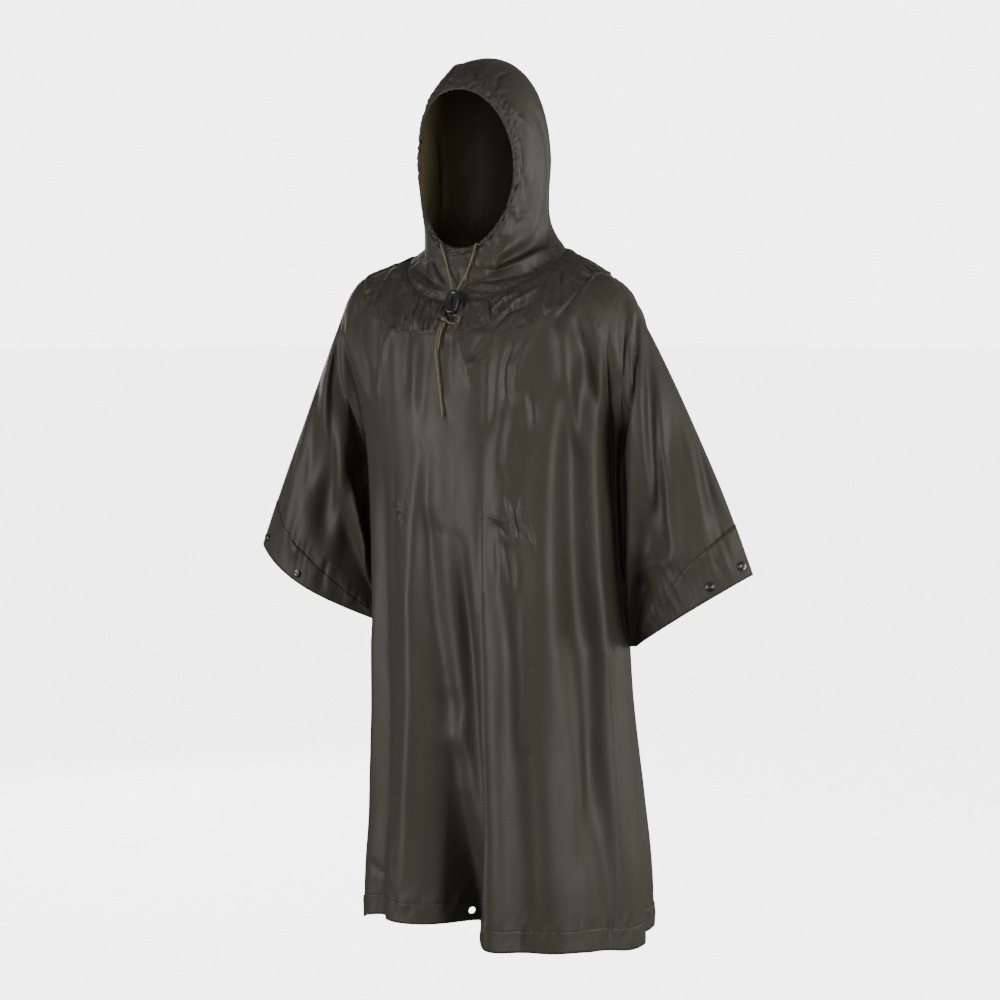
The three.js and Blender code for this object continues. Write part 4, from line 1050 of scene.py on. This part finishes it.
# Yoke: a gathered ring of cloth round the neck, finer than the panels. Its creases are in arc round the neck
# and distance down from the neck seam.
yokeLook = {"front": (11, 22), "back": (11, 18), "seeds": {"front": 14.2, "back": 17.9}, "round": 170,
            "depth": 62.0, "thickness": 0.3, "away": 0.15, "creases": 1.35, "gather": 2.2,
            "gatherSizes": (3.4, 1 / 1.6),
            "crumple": 3.2, "crumples": ((19, 1.0), (9, 0.5)), "crumpleBias": (0.42, 1.7),
            "crumpleLean": (20, 22, -16), "seams": ((0.95, 0.14), (0.1, 0.12)), "full": 1.8, "deepest": -2.6}
yokeCreases = {
    "front": rows(
        foldNames, (((-157, 4), (-149, 19), (-137, 41), (-130, 56)), 5, -4, 1),
        (((-189, 13), (-179, 28), (-167, 50)), 5, 4, 1), (((-106, 6), (-100, 30), (-99, 54)), 4, -3.6, 1),
        (((-87, 2), (-87, 25), (-84, 50)), 4, 3.4, 1), (((-33, 8), (-46, 34), (-44, 56)), 5, -4, 1),
        (((-17, 4), (-28, 34), (-31, 60)), 4, 3.4, 1), (((52, 8), (62, 30), (76, 60)), 13, -4.6, 0),
        (((196, 22), (152, 22), (106, 45)), 3.5, 4, 1), (((176, 34), (136, 34), (104, 56)), 3.5, -3.4, 1),
        (((164, 14), (130, 12), (98, 30)), 3.5, 3, 1), (((203, 22), (190, 45), (186, 64)), 4, 4, 1),
        (((232, 40), (226, 62)), 5, -4, 1), (((238, 20), (216, 37), (202, 60)), 4, -3.6, 1),
        (((-232, 24), (-208, 34), (-198, 54)), 5, 3.6, 1), (((-130, 4), (-122, 26), (-116, 50)), 4, 3.4, 1),
        (((-70, 16), (-64, 38), (-58, 60)), 4, -3, 1), (((96, 2), (106, 18), (100, 36)), 4, -3, 1),
        (((20, 6), (28, 30), (24, 54)), 5, 3, 0), (((-8, 20), (-4, 44), (4, 62)), 4, -3, 1),
        (((262, 16), (252, 38), (244, 62)), 5, 4, 1), (((-262, 16), (-252, 40), (-246, 62)), 5, -4, 1),
        (((-216, 8), (-222, 30), (-236, 56)), 4, -3.4, 1)),
    "back": rows(
        foldNames, (((-150, 6), (-158, 30), (-150, 56)), 5, 3.6, 1),
        (((-104, 4), (-98, 30), (-108, 58)), 5, -3.6, 1), (((-52, 4), (-58, 28), (-50, 58)), 5, 3.4, 1),
        (((-8, 6), (-2, 32), (-10, 58)), 5, -3.4, 1), (((46, 4), (40, 30), (52, 58)), 5, 3.6, 1),
        (((92, 4), (100, 30), (94, 58)), 5, -3.6, 1), (((148, 6), (156, 30), (150, 56)), 5, 3.4, 1),
        (((-206, 8), (-198, 30), (-204, 58)), 5, -3.4, 1), (((204, 8), (198, 30), (206, 58)), 5, -3.4, 1)),
}


def yokeWrinkle(face, co, t, look=yokeLook):
    forward = (co.y - yokeEdge["middleY"]) * (-1 if face == "front" else 1)
    arc, seed = math.atan2(co.x, forward) * look["round"], look["seeds"][face]
    turnAt, right, left = look["crumpleLean"]
    lean = arc + (1 - t) * (right if arc < turnAt else left)
    out = look["creases"] * creaseOut(yokeCreases[face], (arc, t * look["depth"]))
    flat, deep = look["crumpleBias"]
    for size, share in look["crumples"]:
        out += look["crumple"] * share * (flat - deep * abs(wave(lean, t * 34, (size, size), seed + size)))
    seam = sum(math.exp(-((at - t) / wide) ** 2) for at, wide in look["seams"])
    return out + look["gather"] * seam * wave(arc, t, look["gatherSizes"], seed + 8)


def makeYoke(face, look=yokeLook):
    fineAcross, fineDown = look[face]
    neck, middle = neckColumns[face], bodyColumns[face] / 2
    columnValues = [middle - neck + k / fineAcross for k in range(2 * neck * fineAcross + 1)]
    rowValues = [k / fineDown for k in range(yokeRows * fineDown + 1)]
    bm, place = placedGrid(columnValues, rowValues)
    at = {v: (columnValues[place[v][0]], rowValues[place[v][1]]) for v in bm.verts}
    for v in bm.verts:
        v.co = bodyPoint(face, *at[v])
    writeCut(bm, place)
    outwards(bm, (0, -45, -500))
    moves = []
    for v in bm.verts:
        t = at[v][1] / yokeRows
        # inside its two seams the yoke is full, and its outer edge follows the panel
        inner, edge = smooth(t, 0, 0.1) * smooth(1 - t, -0.02, 0.1), smooth(t, 0.7, 1.0)
        out = max(yokeWrinkle(face, v.co, t), look["deepest"]) * inner
        out += look["full"] * smooth(t, 0.0, 0.15) * (1 - edge)
        moves.append((v, v.normal * (look["away"] + out + bodyOut(face, *at[v], v.co) * edge)))
    moveAll(bm, moves)
    return bm


yokes, seamTrees = {}, {}
for face in ("front", "back"):
    bm = makeYoke(face)
    seamTrees[face + "Yoke"] = BVHTree.FromBMesh(bm)
    yokes[face] = finishMesh(face + "Yoke", bm, [clothOut, clothOut], [face + "_yoke"],
                             yokeLook["thickness"], 1.0)
print("yokes gathered")

# Hood: two halves sewn over the crown, with the drawcord's casing round the face
clothWall = 0.5
hoodLook = {"around": 8, "along": 10, "seeds": {1: 41.0, -1: 47.0}, "soft": (1.5, (1 / 3.2, 1 / 1.8)),
            "fine": (0.35, (1 / 16, 1 / 7)), "gathers": (4.2, (1 / 8, 1 / 9)), "gatherReach": 0.07,
            "gatherBias": (0.3, 1.3), "neck": (2.8, (1 / 9, 1 / 9)), "neckBias": (0.4, 1.8)}
casingLook = {"fineness": 9, "across": 12, "away": 0.5, "full": 1.2, "gathers": 1.3, "edge": 0.2,
              "round": 7, "wide": 1.6, "folds": (1.2, 1.1, 3.4), "small": (2.6, 1.4)}
casingShare, hoodRows = 0.082, 13
hoodColumns = neckColumns["front"] + neckColumns["back"]
# Small folds of the hood, along from the face opening to the neck seam and turn from the throat to the crown
hoodCreases = {
    1: rows(
        foldNames, (((0.60, 0.62), (0.68, 0.82), (0.78, 1.18), (0.88, 1.66)), (0.05, 0.07), -9, 0),
        (((0.58, 0.50), (0.70, 0.66), (0.84, 1.07), (0.94, 1.72)), (0.07, 0.035), 9, 1),
        (((0.74, 0.50), (0.86, 0.80), (0.95, 1.06), (0.98, 1.5)), (0.05, 0.06), -7, 0),
        (((0.50, 0.62), (0.61, 1.04), (0.74, 1.53)), 0.07, 4, 0),
        (((0.40, 0.02), (0.54, 0.04), (0.66, 0.12)), 0.05, -5, 1),
        (((0.28, 0.22), (0.46, 0.35), (0.50, 0.50)), 0.05, -3, 1),
        (((0.74, 0.22), (0.78, 0.43), (0.95, 0.66)), 0.035, 4, 1),
        (((0.82, 0.18), (0.9, 0.39), (0.99, 0.6)), 0.035, -4, 1),
        (((0.62, 0.25), (0.70, 0.4), (0.74, 0.52)), 0.03, -3.4, 1),
        (((0.09, 2.08), (0.12, 1.8), (0.20, 1.42)), 0.03, -3.4, 1),
        (((0.08, 2.3), (0.13, 2.07), (0.26, 1.86)), 0.03, 3, 1),
        (((0.08, 1.53), (0.25, 1.37), (0.43, 1.25)), 0.04, -3, 0),
        (((0.1, 1.05), (0.4, 1.05), (0.64, 1.3)), 0.04, 3, 0),
        (((0.09, 1.25), (0.17, 1.32), (0.25, 1.30)), 0.02, 2.6, 1),
        (((0.09, 2.5), (0.16, 2.62), (0.26, 2.6)), 0.03, -3, 1),
        (((0.09, 2.82), (0.18, 2.86), (0.3, 2.8)), 0.04, 3, 1),
        (((0.34, 2.1), (0.56, 1.85), (0.8, 1.8)), 0.07, -3, 0),
        (((0.2, 0.7), (0.34, 0.74), (0.46, 0.86)), 0.04, -3, 1)),
    -1: rows(
        foldNames, (((0.48, 0.6), (0.56, 0.38), (0.66, 0.17)), 0.05, -5, 1),
        (((0.94, 1.2), (0.82, 0.76), (0.74, 0.27)), 0.05, -6, 1),
        (((0.96, 0.9), (0.90, 0.55), (0.84, 0.2)), 0.04, 4, 1),
        (((0.66, 0.9), (0.72, 0.6), (0.76, 0.4)), 0.05, 4, 1),
        (((0.58, 0.62), (0.68, 0.82), (0.80, 1.2), (0.88, 1.6)), 0.05, -5, 0),
        (((0.09, 1.5), (0.22, 1.42), (0.36, 1.4)), 0.04, -3, 0),
        (((0.09, 1.9), (0.2, 1.84), (0.32, 1.8)), 0.04, 3, 0),
        (((0.09, 2.4), (0.22, 2.3), (0.36, 2.2)), 0.05, -3, 0),
        (((0.34, 2.0), (0.54, 1.9), (0.78, 1.8)), 0.07, 3.5, 0),
        (((0.09, 2.8), (0.18, 2.86), (0.3, 2.8)), 0.04, 3, 1)),
}


def hoodTurn(column):
    face = "front" if column <= neckColumns["front"] else "back"
    off = column if face == "front" else hoodColumns - column
    turn = math.pi / 2 * (max(off, 0) / neckColumns[face]) ** columnSpread[face]
    return turn if face == "front" else math.pi - turn


def hoodAlong(row):
    return row * casingShare if row <= 1 else lerp(casingShare, 1, (row - 1) / (hoodRows - 1))


def hoodWrinkle(along, turn, mirror, look=hoodLook):
    seed = look["seeds"][mirror]
    out = creaseOut(hoodCreases[mirror], (along, turn))
    for kind, further in (("soft", 0), ("fine", 6)):
        size, sizes = look[kind]
        out += size * wave(along, turn, sizes, seed + further)
    near = math.exp(-max(along - casingShare, 0) / look["gatherReach"])
    atNeck = smooth(along, 0.8, 1.0)
    for kind, bias, share, further in (("gathers", "gatherBias", near, 3), ("neck", "neckBias", atNeck, 9)):
        (size, sizes), (flat, deep) = look[kind], look[bias]
        out += size * share * (flat - deep * abs(wave(along, turn, sizes, seed + further)))
    return out * smooth(1 - along, 0.0, 0.05) * smooth(turn, 0, 0.12) * smooth(math.pi - turn, 0, 0.1)


def makeHood(mirror, look=hoodLook):
    columnValues = [k / look["around"] for k in range(hoodColumns * look["around"] + 1)]
    rowValues = [k / look["along"] for k in range(hoodRows * look["along"] + 1)]
    bm, place = placedGrid(columnValues, rowValues)
    at = {v: (hoodAlong(rowValues[place[v][1]]), hoodTurn(columnValues[place[v][0]])) for v in bm.verts}
    for v in bm.verts:
        v.co = hoodPoint(*at[v])
        v.co.x = max(v.co.x, 0.0) * mirror
    writeCut(bm, place)
    outwards(bm, (0, -40, 120))
    moveAll(bm, [(v, v.normal * hoodWrinkle(*at[v], mirror)) for v in bm.verts])
    # the two halves meet on the middle line
    for v in bm.verts:
        if v.co.x * mirror < 0.0 or at[v][1] in (0.0, math.pi):
            v.co.x = 0.0
    bm.normal_update()
    return bm


for side, mirror in mirrors.items():
    bm = makeHood(mirror)
    seamTrees[side + "Hood"] = BVHTree.FromBMesh(bm)
    name, node = "hood" + side.capitalize(), "hood_" + side
    finishMesh(name, bm, [clothOut, clothInsidePaintedLight], [node], clothWall)
print("hood shaped")


def makeCasing(look=casingLook):
    # one closed ring, full where the cord runs in it and gathered along it
    count, across = 2 * hoodColumns * look["fineness"], look["across"]
    columnValues = [2 * hoodColumns * k / count for k in range(count + 1)]
    rowValues = [k / across for k in range(across + 1)]
    bm, place = placedGrid(columnValues, rowValues)
    at = {}
    for v in bm.verts:
        column, row = columnValues[place[v][0]], rowValues[place[v][1]]
        mirror = 1 if column <= hoodColumns else -1
        turn = hoodTurn(column if mirror > 0 else 2 * hoodColumns - column)
        v.co = hoodPoint(casingShare * row, turn)
        v.co.x *= mirror
        at[v] = (row, turn * mirror)
    writeCut(bm, place)
    bmesh.ops.remove_doubles(bm, verts=bm.verts, dist=0.01)
    outwards(bm, (0, -40, 120))
    moves = []
    for v in bm.verts:
        row, turn = at[v]
        around = Vector((math.cos(turn) * look["round"], math.sin(turn) * look["round"], row * look["wide"]))
        (often, flat, deep), (smallOften, small) = look["folds"], look["small"]
        gathers = flat - deep * abs(noise.noise(around * often)) + noise.noise(around * smallOften) * small
        full = math.sin(math.pi * row) ** 0.5 if 0 < row < 1 else 0.0
        out = look["away"] + full * (look["full"] + gathers * look["gathers"]) + gathers * look["edge"]
        moves.append((v, v.normal * out))
    moveAll(bm, moves)
    return bm


bm = makeCasing()
seamTrees["casing"] = BVHTree.FromBMesh(bm)
casing = finishMesh("hoodCasing", bm, [clothOut, clothOut], ["hood_casing"], clothWall)
print("casing gathered")


# Seams: rows of small stitches laid on the finished cloth, "edge" in parts of a row from the seam's own edge
stitchLook = {"pitch": 3.2, "length": 2.3, "width": 0.32, "sink": 0.08, "nearest": 12, "edge": 0.94,
              "steps": 60}
yokeStitchLook = {**stitchLook, "sink": -0.24}


def addStitches(name, lines, trees, look=stitchLook):
    bm = bmesh.new()
    for line in lines:
        points, _ = pathPoints(line, look["pitch"])
        for a, b in zip(points, points[1:]):
            hits = [tree.find_nearest((a + b) / 2) for tree in trees]
            place, normal, _, off = min(hits, key=lambda hit: hit[3])
            ahead = (b - a) - normal * (b - a).dot(normal)
            if off > look["nearest"] or ahead.length < 0.01:
                continue
            ahead.normalize()
            turn = Matrix((ahead, normal.cross(ahead), normal)).transposed().to_4x4()
            made = bmesh.ops.create_icosphere(bm, subdivisions=1, radius=0.5)
            size = Matrix.Diagonal((look["length"], look["width"], look["width"], 1))
            lift = Matrix.Translation(place + normal * (look["width"] * 0.5 - look["sink"]))
            bmesh.ops.transform(bm, matrix=lift @ turn @ size, verts=made["verts"])
    finishMesh(name, bm, [thread], ())


bandTrees = {}
for label, piece in [(f + "Hem", hemBands[f]) for f in hemBands] + list(cuffBands.items()):
    bm = bmesh.new()
    bm.from_mesh(piece.data)
    bmesh.ops.scale(bm, vec=(1 / toMetres, 1 / toMetres, 1 / toMetres), verts=bm.verts)
    bm.normal_update()
    for v in bm.verts:
        v.co += v.normal * bandLook["thickness"]
    bandTrees[label] = BVHTree.FromBMesh(bm)
    bm.free()


def stitchLine(point, low, high, steps=stitchLook["steps"]):
    return [point(lerp(low, high, k / steps)) for k in range(steps + 1)]


def mirrored(p, mirror):
    return Vector((p.x * mirror, p.y, p.z))


seams = {"hem": [], "cuffs": [], "yoke": [], "neck": [], "hood": [], "casing": []}
for face in ("front", "back"):
    columns, neck, edge = bodyColumns[face], neckColumns[face], stitchLook["edge"]
    row = hemRow - edge
    seams["hem"].append(stitchLine(lambda t: bodyPoint(face, columns * t, row), 0.004, 0.996))
    for mirror in mirrors.values():
        column = sleeveColumns - edge
        seams["cuffs"].append(stitchLine(lambda row: sleevePoint(face, mirror, column, row),
                                         yokeRows + 0.1, underarmRow - 0.1, 40))
    for row, kind in ((1.93, "yoke"), (0.10, "neck"), (0.26, "neck")):
        seams[kind].append(stitchLine(lambda t: bodyPoint(face, columns / 2 + neck * t, row), -0.992, 0.992))
for mirror in mirrors.values():
    for turn in (0.03, math.pi - 0.035):
        line = stitchLine(lambda along: hoodPoint(along, turn), casingShare * 1.05, 0.985, 40)
        seams["hood"].append([Vector((mirror * 2.6, p.y, p.z)) for p in line])
    line = stitchLine(lambda turn: hoodPoint(casingShare * edge, turn), 0.02, math.pi - 0.02)
    seams["casing"].append([mirrored(p, mirror) for p in line])
yokeTrees = [seamTrees["frontYoke"], seamTrees["backYoke"]]
addStitches("stitchesHem", seams["hem"], [bandTrees["frontHem"], bandTrees["backHem"]])
addStitches("stitchesCuffs", seams["cuffs"], [bandTrees[k] for k in cuffBands])
addStitches("stitchesYoke", seams["yoke"], yokeTrees, yokeStitchLook)
addStitches("stitchesNeck", seams["neck"], yokeTrees, yokeStitchLook)
addStitches("stitchesHood", seams["hood"], [seamTrees["leftHood"], seamTrees["rightHood"]])
addStitches("stitchesCasing", seams["casing"], [seamTrees["casing"]])
print("seams stitched")

# Metal and plastic trims
snapLook = {"around": 48, "profile": (
    (0, 2.5), (1.6, 2.5), (2.1, 2.9), (2.9, 3.1), (3.6, 2.9), (4.0, 2.3), (4.6, 2.05),
    (6.0, 1.95), (6.7, 1.6), (7.0, 1.0), (7.0, 0.25), (6.6, 0.0), (0, 0.0))}
eyeletLook = {"around": 36, "profile": (
    (1.75, 0.2), (1.8, 0.9), (2.2, 1.35), (2.9, 1.5), (3.6, 1.3), (4.1, 0.8), (4.2, 0.25),
    (4.1, 0.0), (1.8, 0.0), (1.75, 0.2))}
grommetLook = {"around": 56, "profile": (
    (5.55, 0.0), (5.6, 1.0), (6.0, 1.75), (6.8, 2.2), (7.8, 2.25), (8.7, 1.8), (9.3, 1.1),
    (9.4, 0.4), (9.4, -0.4), (9.3, -1.1), (8.7, -1.8), (7.8, -2.25), (6.8, -2.2),
    (6.0, -1.75), (5.6, -1.0), (5.55, 0.0))}


def addTurned(name, look, place, direction, node):
    bm = bmesh.new()
    line = [bm.verts.new((r, 0, h)) for r, h in look["profile"]]
    for a, b in zip(line, line[1:]):
        bm.edges.new((a, b))
    bmesh.ops.spin(bm, geom=bm.verts[:] + bm.edges[:], cent=(0, 0, 0), axis=(0, 0, 1), angle=math.tau,
                   steps=look["around"], use_merge=True)
    bmesh.ops.remove_doubles(bm, verts=bm.verts, dist=0.002)
    bmesh.ops.recalc_face_normals(bm, faces=bm.faces)
    turn = Vector((0, 0, 1)).rotation_difference(Vector(direction)).to_matrix().to_4x4()
    bmesh.ops.transform(bm, matrix=Matrix.Translation(place) @ turn, verts=bm.verts)
    finishMesh(name, bm, [darkMetal], [node])


def middleOf(node):
    low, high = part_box(node)
    return (Vector(low) + Vector(high)) * 500


def addPressed(name, look, node, tree):
    # on the cloth nearest to where the part has it
    seat, normal, _, _ = tree.find_nearest(middleOf(node))
    addTurned(name, look, seat + normal * 0.1, normal, node)


for side in mirrors:
    for spot in ("tip", "front"):
        name, node = side + "Snap" + spot.capitalize(), side + "_cuff_snap_" + spot
        addPressed(name, snapLook, node, bandTrees[side + "front"])
    addPressed("eyelet" + side.capitalize(), eyeletLook, "hood_eyelet_" + side, seamTrees["casing"])
addTurned("hemGrommet", grommetLook, grommetSeat["place"], grommetSeat["direction"], "hem_grommet")
print("snaps, eyelets and grommet set")

# Cord lock: an oval block with a slot in its face
lockLook = {"place": (5.7, -152.0, -68.0), "halfWidth": 11.5, "halfHeight": 18.5, "thickness": 10.5,
            "power": 2.6, "around": 64, "tilt": math.pi / 2 - 0.3, "rim": 3.0, "wall": 0.35,
            "face": ((0.6, 0.0), (0.5, -0.3), (1.2, 0.0)), "slotHalf": (2.3, 6.6),
            "slotUp": 3.5, "slotDeep": 3.4}


def addLock(look):
    bm = bmesh.new()
    bmesh.ops.create_circle(bm, cap_ends=True, segments=look["around"], radius=1.0)
    power = 2 / look["power"]
    for v in bm.verts:
        x, y = (math.copysign(abs(part) ** power, part) for part in v.co.xy)
        v.co = Vector((x * look["halfWidth"], y * look["halfHeight"], -look["thickness"] / 2))
    top = bmesh.ops.extrude_face_region(bm, geom=bm.faces[:])
    up = [g for g in top["geom"] if isinstance(g, bmesh.types.BMVert)]
    bmesh.ops.translate(bm, verts=up, vec=(0, 0, look["thickness"]))
    bmesh.ops.recalc_face_normals(bm, faces=bm.faces)
    rims = [e for e in bm.edges if len(e.link_faces) == 2 and e.calc_face_angle(0) > 0.9]
    bmesh.ops.bevel(bm, geom=rims, offset=look["rim"], affect="EDGES", segments=6, profile=0.5, material=-1)
    front = max(bm.faces, key=lambda f: f.normal.z * f.calc_area())
    for thickness, depth in look["face"]:
        bmesh.ops.inset_region(bm, faces=[front], thickness=thickness, depth=depth)
    for v in front.verts:
        turn = math.atan2(v.co.y / look["halfHeight"], v.co.x / look["halfWidth"])
        v.co.x = math.cos(turn) * look["slotHalf"][0]
        v.co.y = math.sin(turn) * look["slotHalf"][1] + look["slotUp"]
    bmesh.ops.inset_region(bm, faces=[front], thickness=look["wall"], depth=-look["slotDeep"])
    tilt = Matrix.Translation(look["place"]) @ Matrix.Rotation(look["tilt"], 4, "X")
    bmesh.ops.transform(bm, matrix=tilt, verts=bm.verts)
    finishMesh("cordLock", bm, [blackPlastic], ["cord_lock"])


addLock(lockLook)

# Knot: the two ends wound over each other
knotLook = {"place": (-5.6, -160.9, -93.0), "turns": 2.2, "radius": 2.6, "narrow": 0.75, "flat": 0.72,
            "high": 3.844, "steps": 33, "cord": {**cordLook, "step": 0.7, "diameter": 2.6}}


def addKnot(look):
    line = []
    for k in range(look["steps"] + 1):
        t = k / look["steps"]
        turn = t * look["turns"] * math.tau
        wide = look["radius"] * lerp(math.cos(turn * 0.5), 1, look["narrow"])
        off = (math.cos(turn) * wide, math.sin(turn) * wide * look["flat"], look["high"] * (0.5 - t))
        line.append(Vector(look["place"]) + Vector(off))
    addTube("cordKnot", line, look["cord"], ["drawcord_knot"])


addKnot(knotLook)
print("lock and knot made")

# Both panels are finished; only the front one has the grommet's hole
for face, (bm, _) in panelMeshes.items():
    if face == "front":
        cutHole(bm)
    finishMesh(face + "Cloth", bm, [clothOut, clothInsidePaintedLight], [face + "_panel"], clothWall)
print("panels finished")


for face in ("front", "back"):
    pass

# Studio: pale floor, soft light
studioLook = {
    "floorZ": -1.46, "floorRadius": 60.0, "tint": (1.0, 0.975, 0.925), "aim": (0, 0, -0.35),
    "boxes": (
        ("keyLeft", -36, 0, 3.4, 1.0, 2.0, 70), ("keyRight", 72, 3, 3.2, 0.9, 2.2, 74),
        ("front", 34, 12, 4.2, 1.3, 2.0, 8), ("top", 10, 70, 3.4, 2.0, 2.0, 4),
        ("backLeft", -132, 8, 3.4, 1.2, 2.2, 50), ("backRight", 136, 8, 3.4, 1.2, 2.2, 44),
    ),
    "world": 0.15, "backdrop": 5.0, "floorGlow": 4.3,
}


def addStudio(look):
    bm = bmesh.new()
    bmesh.ops.create_circle(bm, cap_ends=True, segments=96, radius=look["floorRadius"])
    bmesh.ops.translate(bm, verts=bm.verts, vec=(0, 0, look["floorZ"]))
    mesh = bpy.data.meshes.new("floor")
    bm.to_mesh(mesh)
    bm.free()
    floor = bpy.data.objects.new("floor", mesh)
    bpy.context.collection.objects.link(floor)
    kit = newMaterial("paleFloor")
    tone = kit.blend(kit.grain({"Scale": 0.6, "Detail": 2.0}), (0.86, 0.86, 0.86, 1), (0.9, 0.9, 0.9, 1))
    kit.shade({"Base Color": tone, "Roughness": 0.9, "Emission Color": (1, 1, 1, 1),
               "Emission Strength": look["floorGlow"]})
    mesh.materials.append(kit.made)
    # the floor is bright to look at, but throws no light up into the garment
    floor.visible_diffuse = floor.visible_glossy = floor.visible_transmission = False
    for name, azimuth, elevation, distance, width, height, power in look["boxes"]:
        lamp = bpy.data.lights.new(name, "AREA")
        lamp.shape, lamp.size, lamp.size_y, lamp.energy = "RECTANGLE", width, height, power
        lamp.color = look["tint"]
        aimed(name, lamp, azimuth, elevation, distance, look["aim"])
    world = bpy.data.worlds.new("studio")
    bpy.context.scene.world = world
    world.use_nodes = True
    nodes, links = world.node_tree.nodes, world.node_tree.links
    soft, seen = nodes["Background"], nodes.new("ShaderNodeBackground")
    soft.inputs["Color"].default_value, soft.inputs["Strength"].default_value = (1, 1, 1, 1), look["world"]
    seen.inputs["Color"].default_value, seen.inputs["Strength"].default_value = (1, 1, 1, 1), look["backdrop"]
    ray, choose = nodes.new("ShaderNodeLightPath"), nodes.new("ShaderNodeMixShader")
    links.new(ray.outputs["Is Camera Ray"], choose.inputs[0])
    links.new(soft.outputs[0], choose.inputs[1])
    links.new(seen.outputs[0], choose.inputs[2])
    links.new(choose.outputs[0], nodes["World Output"].inputs["Surface"])


addStudio(studioLook)
print("studio lit")
